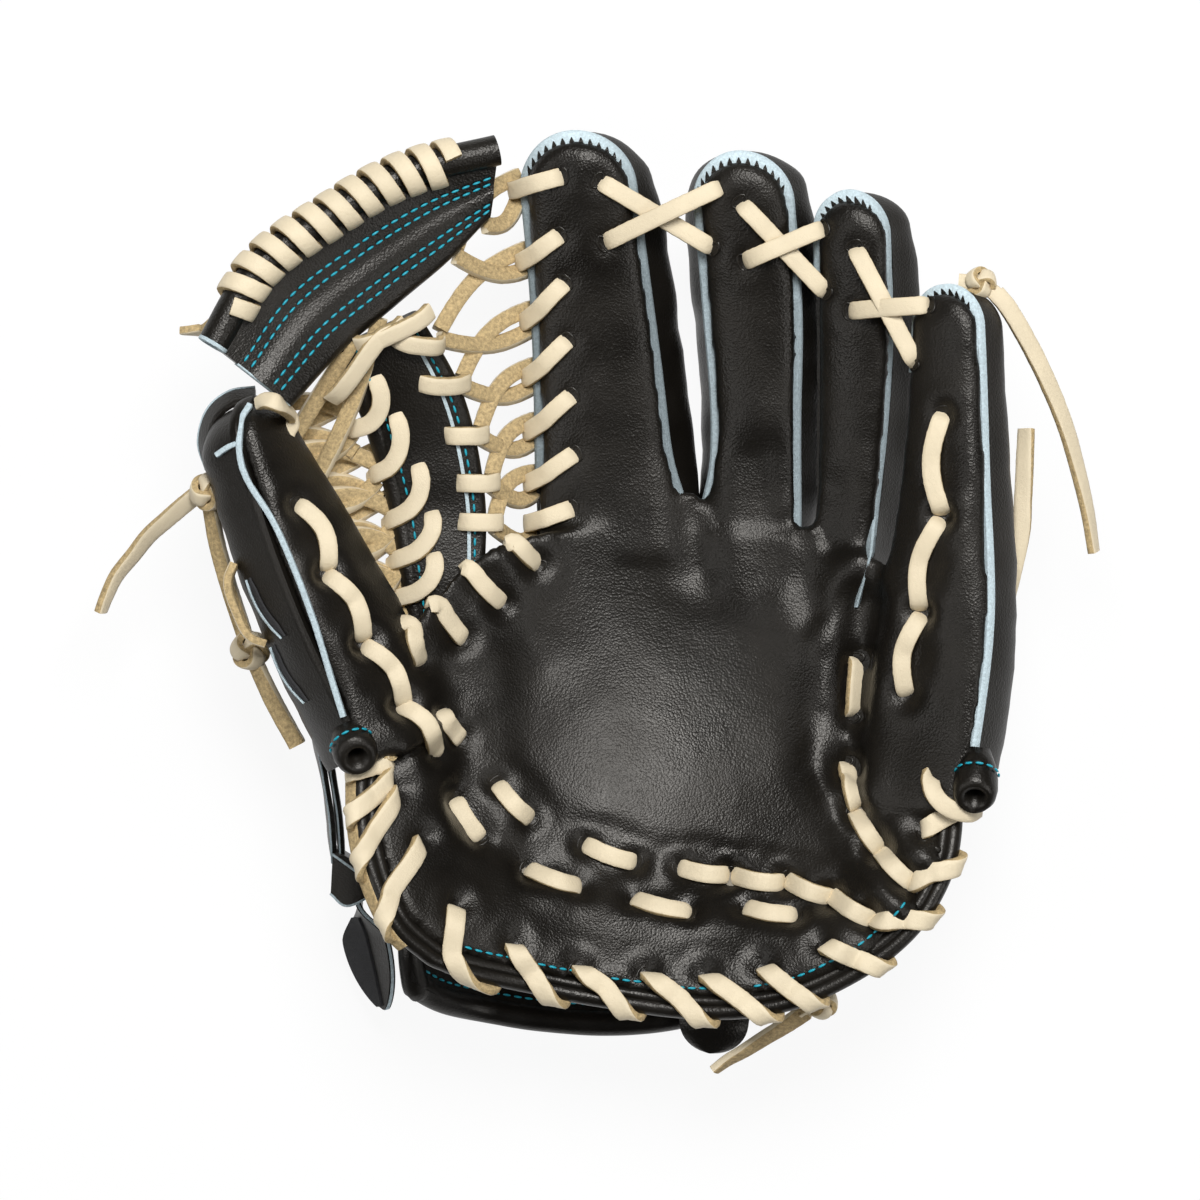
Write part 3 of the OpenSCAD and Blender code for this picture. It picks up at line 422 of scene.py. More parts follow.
class Build:
    """Vertices, faces and marks collected for one mesh. A mark of 1 shows the flesh side of the lace; on the
    welts the marks carry painted shade instead, 0 where the painted highlight is.
    """

    def __init__(self):
        self.verts, self.faces, self.marks, self.count = [], [], [], 0

    def add(self, verts, faces, marks=0.0):
        verts = floats(verts).reshape(-1, 3)
        self.verts.append(verts)
        self.faces += [tuple(i + self.count for i in f) for f in faces]
        self.marks.append(np.broadcast_to(floats(marks), len(verts)))
        self.count += len(verts)

    def rings(self, rings, marks=0.0, closed=False):
        """A skin over closed rings of points, shut at both ends unless the rings themselves meet."""
        rings = floats(rings)
        n, m = rings.shape[:2]
        marks = np.broadcast_to(floats(marks), (n, m)).reshape(-1)
        self.add(rings, quads(n, m, closed), marks)
        if closed:
            return
        for r, turn in ((0, -1), (n - 1, 1)):
            ring = rings[r]
            fan = [(m, j, (j + 1) % m)[::turn] for j in range(m)]
            self.add(np.vstack([ring, ring.mean(axis=0)]), fan, np.append(marks[r * m:(r + 1) * m], 1.0))

    def slab(self, top, bottom):
        """A closed sheet between two grids of points."""
        n, m = top.shape[:2]
        loops = np.concatenate([top, bottom[:, ::-1]], axis=1)
        k = 2 * m
        faces = quads(n, k)
        for base, turn in ((0, -1), ((n - 1) * k, 1)):
            faces += [tuple(base + i for i in (j, j + 1, k - 2 - j, k - 1 - j)[::turn])
                      for j in range(m - 1)]
        self.add(loops, faces)

    def mesh(self, name, sharp=SHARP):
        mesh = bpy.data.meshes.new(name)
        mesh.from_pydata(np.concatenate(self.verts) * MM, [], self.faces)
        mark = mesh.attributes.new("flesh", "FLOAT", "POINT")
        mark.data.foreach_set("value", np.concatenate(self.marks).astype(np.float32))
        clean(mesh)
        shade_smooth(mesh)
        mesh.set_sharp_from_angle(angle=math.radians(sharp))
        mesh.update()
        return mesh

    def piece(self, name, look, body, *nodes, sharp=SHARP, slot=None):
        """The finished piece."""
        return dress(name, self.mesh(name, sharp), look, body, *nodes, slot=slot)


def clean(mesh):
    """Merges doubled points and turns all faces outwards."""
    shape = bmesh.new()
    shape.from_mesh(mesh)
    bmesh.ops.remove_doubles(shape, verts=shape.verts, dist=MERGE)
    bmesh.ops.dissolve_degenerate(shape, edges=shape.edges, dist=1e-7)
    bmesh.ops.recalc_face_normals(shape, faces=shape.faces)
    shape.to_mesh(mesh)
    shape.free()


def shade_smooth(mesh):
    mesh.polygons.foreach_set("use_smooth", np.ones(len(mesh.polygons), bool))


def place(name, mesh, material=None):
    """An object for a finished mesh, in the scene."""
    obj = bpy.data.objects.new(name, mesh)
    mesh.name = name
    if material:
        mesh.materials.append(material)
    bpy.context.scene.collection.objects.link(obj)
    return obj


def remeshed(mesh, size):
    """One closed skin round everything in a mesh, from voxels of that size in metres."""
    obj = place("voxel_source", mesh)
    step = obj.modifiers.new("skin", "REMESH")
    step.mode, step.voxel_size, step.adaptivity = "VOXEL", size, 0.0
    skin = bpy.data.meshes.new_from_object(obj.evaluated_get(bpy.context.evaluated_depsgraph_get()))
    bpy.data.objects.remove(obj)
    return skin


def rows_of(data, key, width, kind):
    """The values of one property of a mesh's points, edges or normals, as rows."""
    out = np.empty(len(data) * width, kind)
    data.foreach_get(key, out)
    return out.reshape(-1, width)


def points_of(mesh):
    return rows_of(mesh.vertices, "co", 3, np.float32).astype(float)


def normals_of(mesh):
    return rows_of(mesh.vertex_normals, "vector", 3, np.float32).astype(float)


def edges_of(mesh):
    return rows_of(mesh.edges, "vertices", 2, np.int32)


def relax(co, edges, times, strength=0.5):
    """Moves each point towards the mean of its neighbours."""
    a, b = edges[:, 0], edges[:, 1]
    count = np.bincount(edges.reshape(-1), minlength=len(co))[:, None]
    for _ in range(times):
        total = np.stack([np.bincount(a, co[b, k], len(co)) + np.bincount(b, co[a, k], len(co))
                          for k in range(3)], axis=1)
        co = lerp(co, total / np.maximum(count, 1), strength)
    return co


def set_points(mesh, co):
    mesh.vertices.foreach_set("co", np.asarray(co, np.float32).reshape(-1))
    mesh.update()


def waves(co, scale, seed):
    """Smooth noise from -1 to 1 at points in millimetres, with hills about scale millimetres apart."""
    shift = Vector((seed * 7.3, seed * 3.1, seed * 5.7))
    values = [noise.noise(Vector(p) / scale + shift) for p in co.reshape(-1, 3)]
    return np.array(values).reshape(co.shape[:-1])


def to_segment(xy, a, b):
    """Distance of points to a line between two places, and how far along it they lie."""
    a, b = floats(a)[:2], floats(b)[:2]
    way = b - a
    t = np.clip((xy - a) @ way / (way @ way), 0, 1)
    return lengths(xy - (a + t[:, None] * way)), t


def copied(node, size, times, rough):
    """A skin over a copy of a CAD node: merged, remeshed, relaxed and made slightly uneven."""
    shape = bmesh.new()
    shape.from_mesh(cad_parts[node].data)
    bmesh.ops.remove_doubles(shape, verts=shape.verts, dist=MERGE)
    mesh = bpy.data.meshes.new("copy")
    shape.to_mesh(mesh)
    shape.free()
    mesh = remeshed(mesh, size)
    co = relax(points_of(mesh), edges_of(mesh), times)
    set_points(mesh, co)
    normal = normals_of(mesh)
    set_points(mesh, co + normal * (waves(co / MM, 14, 1) * rough * MM)[:, None])
    shade_smooth(mesh)
    mesh.update()
    return mesh


# Points of the lace's section: sideways and upwards, in half widths and half thicknesses, and their marks
LACE_SECTION = (
    (-0.93, 0.92, 0), (-0.55, 1.04, 0), (-0.18, 1.08, 0), (0.18, 1.08, 0), (0.55, 1.04, 0), (0.93, 0.92, 0),
    (1, 0.68, 0.8), (1, -0.7, 1), (0.88, -1, 1), (0.3, -1, 1), (-0.3, -1, 1), (-0.88, -1, 1), (-1, -0.7, 1),
    (-1, 0.68, 0.8))

# How far from its end a tapered lace is full width
TAPER_RUN = 4.5
# How unevenly lace is cut: shares of its half width on either side, and nicks in a millimetre
NICKS, NICK_RATE = (0.06, 0.05), 0.9


def lace(build, points, ups, width=None, thick=None, twist=0.0, step=1.1, flip=False, taper=0.0):
    """A strip of rawhide along points, narrowed at its ends by taper.

    Its grain side, or its flesh side with flip, faces ups at the start and turns by twist degrees.
    """
    width = (width or sizes().lace_width / MM) / 2
    thick = (thick or sizes().lace_thickness / MM) / 2
    points = floats(points)
    path, ups = spaced(points, step, np.broadcast_to(floats(ups), points.shape))
    way = ways(path)
    side = unit(np.cross(way, ups))
    side, up = turned(side, np.cross(side, way), np.radians(np.linspace(0, twist, len(path))))
    nick = np.array([[noise.noise(Vector(p) * NICK_RATE + Vector((0, 0, 40 * k))) for k in (0, 1)]
                     for p in path])
    right, left = 1 + NICKS[0] * np.abs(nick[:, :1]), 1 + NICKS[1] * nick[:, 1:]
    across, high, marks = np.array(LACE_SECTION).T
    w = across * width * np.where(across > 0, right, left)
    run = np.arange(len(path)) * step
    w = w * (1 - taper * (1 - smooth_step(0, TAPER_RUN, np.minimum(run, run[::-1]))))[:, None]
    rings = path[:, None] + side[:, None] * w[..., None] + up[:, None] * (high * thick)[:, None]
    build.rings(rings, 1 - marks if flip else marks)


def tube(build, points, radius, sides=18, flat=1.0):
    """A round strip along points. The radius may be a list of its values along the way."""
    radii = row(radius)
    also = np.interp(np.linspace(0, 1, len(points)), np.linspace(0, 1, len(radii)), radii)[:, None]
    path, r = spaced(floats(points), 1.2, also)
    side, up = level_axes(ways(path))
    build.rings(path[:, None] + r[:, None] * around(side, flat * up, circle(sides)))


class Skin:
    """A finished leather, to set laces and stitches on."""

    above_all = 300

    def __init__(self, mesh):
        places = [v.co / MM for v in mesh.vertices]
        self.tree = BVHTree.FromPolygons(places, [p.vertices for p in mesh.polygons])

    def below(self, x, y):
        """Where a ray from above meets the leather, and the direction out of it there."""
        return self.tree.ray_cast(Vector((x, y, self.above_all)), Vector((0, 0, -1)))[:2]

    def covers(self, x, y):
        return self.below(x, y)[0] is not None

    def at(self, x, y, lift=0.0):
        """The leather under a place seen from above, lifted, and its outward direction."""
        hit, normal = self.below(x, y)
        if hit is None:
            hit, normal = self.tree.find_nearest(Vector((x, y, float(palm_z(x, y)))))[:2]
        return np.array(hit) + np.array(normal) * lift, np.array(normal)


# Finishes


class Value:
    """A shader output that takes part in arithmetic."""

    def __init__(self, nodes, socket):
        self.nodes, self.socket = nodes, socket

    def _math(self, operation, a, b):
        return self.nodes.node("ShaderNodeMath", {"operation": operation}, {0: a, 1: b})

    def __add__(self, other):
        return self._math("ADD", self, other)

    def __sub__(self, other):
        return self._math("SUBTRACT", self, other)

    def __rsub__(self, other):
        return self._math("SUBTRACT", other, self)

    def __mul__(self, other):
        return self._math("MULTIPLY", self, other)

    def __pow__(self, other):
        return self._math("POWER", self, other)

    __radd__, __rmul__ = __add__, __mul__


class Nodes:
    """A shader tree whose nodes are added one by one."""

    def __init__(self, tree):
        self.tree = tree

    def node(self, kind, settings=None, sockets=None, out=0):
        """A node of that kind: its settings first, then the values or links of its sockets."""
        made = self.tree.nodes.new(kind)
        for key, value in (settings or {}).items():
            setattr(made, key, value)
        for key, value in (sockets or {}).items():
            self.link(made.inputs[key], value)
        return Value(self, made.outputs[out])

    def link(self, socket, value):
        if isinstance(value, Value):
            self.tree.links.new(value.socket, socket)
        else:
            socket.default_value = value


class Finish(Nodes):
    """A material, and the nodes that its finishes share."""

    def __init__(self, name):
        self.material = bpy.data.materials.new(name)
        self.material.use_nodes = True
        super().__init__(self.material.node_tree)
        self.shader = self.tree.nodes["Principled BSDF"]
        self.output = self.tree.nodes["Material Output"]

    def set(self, **sockets):
        """Sets or links the shader's sockets, named in small letters."""
        for key, value in sockets.items():
            self.link(self.shader.inputs[key.replace("_", " ").title().replace("Ior", "IOR")], value)

    def spot(self):
        return self.node("ShaderNodeTexCoord", out="Object")

    def noise(self, scale, detail=3.0, rough=0.55):
        sockets = {"Vector": self.spot(), "Scale": scale, "Detail": detail, "Roughness": rough}
        return self.node("ShaderNodeTexNoise", None, sockets, "Fac")

    def cells(self, scale):
        return self.node("ShaderNodeTexVoronoi", {"feature": "F1"}, {"Vector": self.spot(), "Scale": scale},
                         "Distance")

    def marks(self):
        """The marks of the mesh, from 0 to 1, kept as flesh: the lace's flesh side, and on the welts their
        painted shade.
        """
        return self.node("ShaderNodeAttribute", {"attribute_name": "flesh"}, None, "Fac")

    def spread(self, value, low, high):
        """A value stretched so that low becomes 0 and high becomes 1."""
        return self.node("ShaderNodeMapRange", None, {0: value, 1: low, 2: high})

    def mix(self, share, a, b):
        return self.node("ShaderNodeMix", {"data_type": "RGBA"}, {0: share, 6: a, 7: b}, 2)

    def tones(self, share, colour, dark, light):
        """A colour from dark to light shades of itself."""
        return self.mix(share, shade(colour, dark), shade(colour, light))

    def bump(self, height, strength, distance):
        sockets = {"Strength": strength, "Distance": distance, "Height": height}
        return self.node("ShaderNodeBump", None, sockets)


def shade(colour, share):
    return tuple(c * share for c in colour[:3]) + (1,)


def leather(name, colour, gloss, grain=1.0):
    """Cowhide: pebbled grain, fine pores, soft creases and a worn sheen."""
    f = Finish(name)
    cloud = f.spread(f.noise(38, 3), 0.35, 0.68)
    crease = f.noise(150, 4, rough=0.6)
    pebble = f.cells(1450) ** 1.4
    pore = f.noise(2600, 2)
    worn = f.spread(f.noise(16, 2), 0.42, 0.75)
    height = pebble * 0.5 + pore * 0.35 + crease * 0.42
    f.set(base_color=f.tones(cloud, colour, 0.72, 1.35),
          roughness=cloud * 0.1 + worn * -0.09 + pore * 0.12 + gloss,
          normal=f.bump(height, 0.42 * grain, 0.00045),
          specular_ior_level=0.36, specular_tint=(1, 0.965, 0.915, 1))
    return f.material


def rawhide(name, grain_side, flesh_side):
    """Lace leather: a pale smooth grain side, and tan suede on its edges and back."""
    f = Finish(name)
    speck = f.spread(f.noise(900, 5, rough=0.75), 0.36, 0.66)
    fibre = f.noise(1900, 3, rough=0.7)
    side = f.spread(f.marks() + speck * 0.24 - 0.12, 0.35, 0.75)
    smooth = f.tones(f.noise(70, 3), grain_side, 0.84, 1.1)
    napped = f.tones(speck, flesh_side, 0.62, 1.28)
    f.set(base_color=f.mix(side, smooth, napped), roughness=side * 0.36 + fibre * 0.1 + 0.5,
          normal=f.bump(speck * 0.6 + fibre * 0.4, 0.4, 0.0003), specular_ior_level=0.35)
    return f.material


def suede(name, colour, light=1.0, deep=1.0):
    """Napped leather, speckled where the nap lies in different ways, with painted light and shade from light
    to deep by its marks.
    """
    f = Finish(name)
    speck = f.spread(f.noise(1100, 5, rough=0.75), 0.34, 0.66)
    nap = speck * 0.75 + f.noise(90, 2) * 0.25
    # Painted light and shade: a lit and a shaded tone of the same suede, mixed by the marks
    pale, painted_shade_colour = (f.tones(nap, colour, 0.68 * tone, 1.2 * tone) for tone in (light, deep))
    f.set(base_color=f.mix(f.marks(), pale, painted_shade_colour), roughness=speck * 0.12 + 0.84,
          normal=f.bump(speck, 0.5, 0.0003), specular_ior_level=0.2)
    return f.material


def thread(name, colour):
    """Bonded thread: a little sheen, and strands that show as fine bands."""
    f = Finish(name)
    strand = f.noise(3200, 2)
    f.set(base_color=f.tones(strand, colour, 0.7, 1.3), roughness=strand * 0.2 + 0.35,
          normal=f.bump(strand, 0.3, 0.0002))
    return f.material


def felt(name, colour):
    """Matted wool in short tangled fibres."""
    f = Finish(name)
    fibre = f.noise(1500, 6, rough=0.8)
    f.set(base_color=f.tones(fibre * 0.7 + f.noise(60, 3) * 0.3, colour, 0.6, 1.35),
          roughness=fibre * 0.1 + 0.88, normal=f.bump(fibre, 0.8, 0.0006))
    return f.material


def moulded(name, colour):
    """Sheet plastic with a faint texture."""
    f = Finish(name)
    dust = f.noise(420, 4)
    f.set(base_color=f.tones(dust, colour, 0.85, 1.15), roughness=dust * 0.2 + 0.35,
          normal=f.bump(dust, 0.15, 0.0002))
    return f.material


FINISHES = {}


def finish(name):
    return FINISHES[name]


class GloveSizes(bpy.types.PropertyGroup):
    """Sizes of the glove's dressed pieces."""

    lace_width: FloatProperty(
        name="Lace width", description="Width of the rawhide lace", default=0.0054,
        subtype="DISTANCE", unit="LENGTH")
    tail_width: FloatProperty(
        name="Lace end width", description="Width of the free ends of lace", default=0.0052,
        subtype="DISTANCE", unit="LENGTH")
    lace_thickness: FloatProperty(
        name="Lace thickness", description="Thickness of the rawhide lace", default=0.0024,
        subtype="DISTANCE", unit="LENGTH")
    welt_width: FloatProperty(
        name="Welt width", description="How far the welt stands out of the seam", default=0.0019,
        subtype="DISTANCE", unit="LENGTH")
    skin_size: FloatProperty(
        name="Skin detail", description="Edge length of the front leather's faces", default=0.0013,
        subtype="DISTANCE", unit="LENGTH")
    stitch_length: FloatProperty(
        name="Stitch length", description="Length of one thread stitch", default=0.0025,
        subtype="DISTANCE", unit="LENGTH")
    stitch_pitch: FloatProperty(
        name="Stitch pitch", description="Distance between thread stitches", default=0.0033,
        subtype="DISTANCE", unit="LENGTH")
    thread_width: FloatProperty(
        name="Thread width", description="Thickness of the thread", default=0.0008,
        subtype="DISTANCE", unit="LENGTH")
    pad_relax: IntProperty(
        name="Leather softness", description="Rounds of relaxing on the front leather", default=9)


class GloveColours(bpy.types.PropertyGroup):
    """Colours of the glove's finishes."""

    leather: FloatVectorProperty(
        name="Leather", description="Shell leather", default=(0.0066, 0.0055, 0.0042),
        subtype="COLOR")
    lace: FloatVectorProperty(
        name="Lace", description="Grain side of the lace", default=(0.70, 0.60, 0.425),
        subtype="COLOR")
    flesh: FloatVectorProperty(
        name="Lace edge", description="Flesh side and edges of the lace", default=(0.47, 0.35, 0.18),
        subtype="COLOR")
    welt: FloatVectorProperty(
        name="Welt", description="Suede strip in the seams", default=(0.50, 0.60, 0.64),
        subtype="COLOR")
    thread: FloatVectorProperty(
        name="Thread", description="Seam thread", default=(0.004, 0.30, 0.40), subtype="COLOR")
    lining: FloatVectorProperty(
        name="Lining", description="Leather inside the glove", default=(0.05, 0.036, 0.026),
        subtype="COLOR")


def colours():
    return bpy.context.scene.glove_colours


def sizes():
    return bpy.context.scene.glove_sizes


def done(obj, slot, body, *nodes):
    """Puts a finished piece on its body, or bakes its place into its mesh where the body is a bend, and
    hides the CAD nodes that it stands for. Its slot is not used.
    """
    if body in BENDS:
        start, end = (tuple(c * MM for c in p) for p in BENDS[body])
        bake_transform(obj)
    else:
        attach(obj, body)
    if nodes:
        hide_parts(*nodes)
    return obj


# The slots of the looks that aren't named after them
SLOTS = {"edge": "leather", "back": "leather", "seam": "welt"}


def dress(name, mesh, look, body, *nodes, slot=None):
    """A mesh as a finished piece: its look and its body. Its slot, worked out from the look, is passed on
    but not used.
    """
    return done(place(name, mesh, finish(look)), slot or SLOTS.get(look, look), body, *nodes)


class GloveOperator:
    """What the glove's operators share."""

    bl_options = {"REGISTER", "UNDO"}

    def execute(self, context):
        self.make()
        return {"FINISHED"}


class GLOVE_OT_finishes(GloveOperator, bpy.types.Operator):
    """Makes the leather, lace, welt, thread, felt and plastic finishes"""

    bl_idname = "glove.finishes"
    bl_label = "Finishes"

    def make(self):
        c = colours()
        FINISHES.update(
            leather=leather("shell_leather", c.leather, 0.29),
            back=leather("back_leather", c.leather, 0.34),
            edge=leather("rolled_leather", c.leather, 0.29, 0.6),
            lining=leather("lining_leather", c.lining, 0.55, 0.7),
            lace=rawhide("rawhide_lace", c.lace, c.flesh),
            welt=suede("cut_edge_suede", c.welt),
            # The welts' suede with painted light and shade: 1.25 times its colour where painted lit, 0.3
            # where painted shaded
            seam=suede("welt_suede", c.welt, 1.25, 0.3),
            thread=thread("seam_thread", c.thread),
            felt=felt("wool_felt", (0.26, 0.235, 0.19)),
            hook=felt("hook_pile", (0.03, 0.03, 0.032)),
            plastic=moulded("stiffener_plastic", (0.09, 0.095, 0.1)),
        )


class GLOVE_OT_stage(GloveOperator, bpy.types.Operator):
    """Makes the camera, the soft lights and the pale floor"""

    bl_idname = "glove.stage"
    bl_label = "Camera and stage"

    # Over the middle of the view, so far above the height at which the view is 0.36 m wide
    view_centre, view_distance, subject_height = (-0.0024, -0.0024), 2.0, 0.055
    sensor, lens = 36.0, 200.0
    # Soft lights: place, size and power
    lamps = {"key": ((0.12, 0.62, 1.5), 0.7, 30.0), "fill": ((-1.1, -0.35, 1.1), 0.9, 5.0),
             "rim": ((1.0, -0.5, 1.0), 0.7, 4.5)}
    floor_half, floor_z, floor_glow = 4.0, -0.0008, 0.92
    sky_light = 0.04

    def make(self):
        scene = bpy.context.scene
        scene.view_settings.view_transform = "Standard"
        camera = bpy.data.cameras.new("camera")
        camera.sensor_width = self.sensor
        camera.lens = self.lens
        eye = bpy.data.objects.new("camera", camera)
        eye.location = (*self.view_centre, self.view_distance + self.subject_height)
        scene.collection.objects.link(eye)
        scene.camera = eye
        for name, values in self.lamps.items():
            self.lamp(name, *values)
        self.floor()
        self.sky()

    def lamp(self, name, spot, size, power):
        light = bpy.data.lights.new(name, "AREA")
        light.shape, light.size, light.energy = "DISK", size, power
        obj = bpy.data.objects.new(name, light)
        obj.location = spot
        obj.rotation_mode = "QUATERNION"
        obj.rotation_quaternion = (-Vector(spot)).to_track_quat("-Z", "Y")
        bpy.context.scene.collection.objects.link(obj)

    def seen_rays(self, f):
        rays = [f.node("ShaderNodeLightPath", out=n)
                for n in ("Is Camera Ray", "Is Glossy Ray", "Is Transmission Ray")]
        return rays[0] + rays[1] + rays[2]

    def floor(self):
        f = Finish("stage_floor")
        f.set(base_color=(0.86, 0.86, 0.86, 1), roughness=0.9)
        glow = f.node("ShaderNodeEmission", None, {"Color": (1, 1, 1, 1), "Strength": 1.0})
        lit = f.node("ShaderNodeMixShader", None, {0: self.seen_rays(f) * self.floor_glow,
                                                   1: Value(f, f.shader.outputs[0]), 2: glow})
        clear = f.node("ShaderNodeBsdfTransparent")
        under = f.node("ShaderNodeNewGeometry", out="Backfacing")
        both = f.node("ShaderNodeMixShader", None, {0: under, 1: lit, 2: clear})
        f.link(f.output.inputs["Surface"], both)
        mesh = bpy.data.meshes.new("floor")
        corners = ((-1, -1), (1, -1), (1, 1), (-1, 1))
        mesh.from_pydata([(x * self.floor_half, y * self.floor_half, self.floor_z) for x, y in corners], [],
                         [(0, 1, 2, 3)])
        place("floor", mesh, f.material)

    def sky(self):
        world = bpy.data.worlds.new("studio")
        bpy.context.scene.world = world
        world.use_nodes = True
        f = Nodes(world.node_tree)
        sky = f.tree.nodes["Background"]
        f.link(sky.inputs["Color"], (1, 1, 1, 1))
        seen = f.node("ShaderNodeLightPath", out="Is Camera Ray")
        f.link(sky.inputs["Strength"], seen * (1 - self.sky_light) + self.sky_light)


class GLOVE_OT_lace_ends(GloveOperator, bpy.types.Operator):
    """Makes the free ends of the laces"""

    bl_idname = "glove.lace_ends"
    bl_label = "Free ends of lace"

    def make(self):
        for name, (body, route) in TAILS.items():
            path = spaced(floats(route), 1.4)
            build = Build()
            lace(build, path, (0.25, -0.2, 1.0), width=sizes().tail_width / MM, twist=55,
                 flip=name == "heel_lace_tail")
            obj = build.piece(name + "_rawhide", "lace", body, name)


# The front leather, and the back of the thumb
SKIN = []


class GLOVE_OT_front(GloveOperator, bpy.types.Operator):
    """Makes the front leather: palm, finger fronts, thumb front and thumb pad in one soft skin"""

    bl_idname = "glove.front"
    bl_label = "Front leather"

    nodes = ("palm_leather", "index_front", "middle_front", "ring_front", "pinky_front", "thumb_front",
             "thumb_pad_leather")
    palm_depth, crotch_depth, crotch_drop = 5.0, 4.5, 1.2
    # How far the leather is drawn in at a lace hole, at a hole near a finger's edge and along a stitch
    hole_depth, edge_hole_depth, stitch_depth = 1.9, 0.7, 0.7
    # How far it swells between the holes of the heel
    heel_swell = 1.3
    # Unevenness: distance between hills, height and seed
    unevenness = ((34, 0.55, 1), (15, 0.28, 2), (6, 0.08, 3))
    # Low webs of leather between the roots of neighbouring fingers
    crotches = (((14, 12), (36, 12), (27, 30.5), (20.5, 30.5)), ((48, 8), (68, 4), (62, 20), (55, 20)),
                ((67, -53), (82, -53), (84, -14), (70, -14)), ((66, -16), (84, -16), (85, 8), (74, 13)),
                ((-62, -14), (-42, 10), (-44, -38), (-50, -40)))
    # Padded swellings: place, half sizes, turn and height
    pads = (((20, -104), (60, 13), -4, 4.0), ((82, -92), (20, 11), 40, 2.6), ((88, -66), (11, 18), 0, 2.4),
            ((-57, -76), (10, 26), 10, 3.0), ((-30, -96), (18, 12), -20, 2.4), ((-75, -4), (9, 30), 28, 1.2),
            ((104, 10), (8, 42), -4, 1.2), ((55, -70), (22, 9), -8, 0.8), ((-52, -50), (7, 16), 12, 1.2))
    # Creases: points, depth and half width
    creases = (
        (((-44, 4), (-47, -20), (-45, -45), (-41, -66)), 2.2, 6.0),
        (((76, -4), (74, -22), (72, -38), (72, -52)), 4.0, 5.0),
        (((-24, -76), (-4, -84), (16, -88), (38, -90), (62, -94), (80, -100)), 1.8, 5.0),
        (((-44, -62), (-34, -76), (-24, -84)), 1.8, 5.0),
        (((71, -51), (76, -66), (86, -80), (92, -88)), 2.4, 4.0),
        (((46, 40), (49, 22), (51, 6)), 1.3, 6.0), (((68, 30), (67, 12), (64, -2)), 1.0, 5.0),
        (((26, 30), (26, 20), (28, 8)), 1.4, 5.0), (((58.5, 17), (60, 6), (62, -6)), 1.6, 4.5),
        (((-34, -2), (-26, -12), (-20, -20)), 0.8, 7.0))

    def make(self):
        source = self.solids()
        mesh = remeshed(source, sizes().skin_size)
        edges = edges_of(mesh)
        co = relax(points_of(mesh) / MM, edges, sizes().pad_relax)
        set_points(mesh, co * MM)
        normal = normals_of(mesh)
        co = co + normal * self.relief(co, normal)[:, None]
        co = relax(co, edges, 2)
        set_points(mesh, co * MM)
        shade_smooth(mesh)
        SKIN.append(Skin(mesh))
        dress("front_leather", mesh, "leather", "fold", *self.nodes)

    def solids(self):
        """The padded solids that the skin is drawn over."""
        build = Build()
        for f in FINGERS.values():
            build.rings(f.front_rings())
        for edges, across, along in (((PALM_TOP, HEEL_EDGE, PALM_LEFT, PALM_RIGHT), 110, 100),
                                     ((PAD_TOP, PAD_BOTTOM, THUMB_EDGE[::-1], PAD_RIGHT), 30, 60)):
            q, p = np.meshgrid(np.linspace(0, 1, along), np.linspace(0, 1, across), indexing="ij")
            flat = patch(*edges, p.reshape(-1), q.reshape(-1))
            top = np.column_stack([flat, palm_z(flat[:, 0], flat[:, 1])]).reshape(along, across, 3)
            build.slab(top, top - (0, 0, self.palm_depth))
        for corners in self.crotches:
            t = np.linspace(0, 1, 24)[:, None]
            a, b, c, d = corners
            grid = np.stack([lerp(lerp(a, d, t), lerp(b, c, t), v) for v in np.linspace(0, 1, 12)], axis=1)
            z = palm_z(grid[..., 0], grid[..., 1]) - self.crotch_drop
            top = np.concatenate([grid, z[..., None]], axis=-1)
            build.slab(top, top - (0, 0, self.crotch_depth))
        return build.mesh("front_solids")

    def relief(self, co, normal):
        """How far each point moves out of the skin: pads, creases, lace holes and unevenness."""
        xy, out = co[:, :2], np.zeros(len(co))
        front = smooth_step(-0.1, 0.45, normal[:, 2])
        for (x, y), (a, b), turn, height in self.pads:
            c, n = math.cos(math.radians(turn)), math.sin(math.radians(turn))
            u, v = (xy - (x, y)) @ np.array((c, n)), (xy - (x, y)) @ np.array((-n, c))
            out += height * np.exp(-(u / a) ** 2 - (v / b) ** 2)
        for points, depth, width in self.creases:
            line = spaced(np.column_stack([points, np.zeros(len(points))]), 3)[:, :2]
            d = np.min([lengths(xy - p) for p in line], axis=0)
            out += depth * (0.35 * bell(d - 2.2 * width, width) - bell(d, width))
        stitches = PALM_STITCHES + PINKY_SCALLOPS + THUMB_SCALLOPS + BASE_STITCHES
        for a, b in stitches:
            d, t = to_segment(xy, a, b)
            out += self.stitch_depth * (bell(d - 8, 3.2) * np.sin(math.pi * t) - bell(d, 3.2))
        holes = [p for s in stitches for p in s] + [w[0] for w in HEEL_WRAPS + THUMB_WRAPS]
        near_edges = [p for pair in CROSSINGS.values() for s in pair for p in s]
        near_edges += [w[0] for w in INDEX_EDGE_WRAPS]
        for spots, depth in ((holes, self.hole_depth), (near_edges, self.edge_hole_depth)):
            for spot in spots:
                d = lengths(xy - spot)
                out += depth * (0.24 * bell(d - 6.5, 2.8) - bell(d, 2.8))
        for a, b in zip(HEEL_WRAPS, HEEL_WRAPS[1:]):
            out += self.heel_swell * bell(lengths(xy - lerp(a[0], b[0], 0.5)), 7)
        rough = sum(waves(co, scale, seed) * height for scale, height, seed in self.unevenness)
        calm_fingers = 1 - 0.6 * smooth_step(15, 55, co[:, 1])
        return front * out + rough * calm_fingers


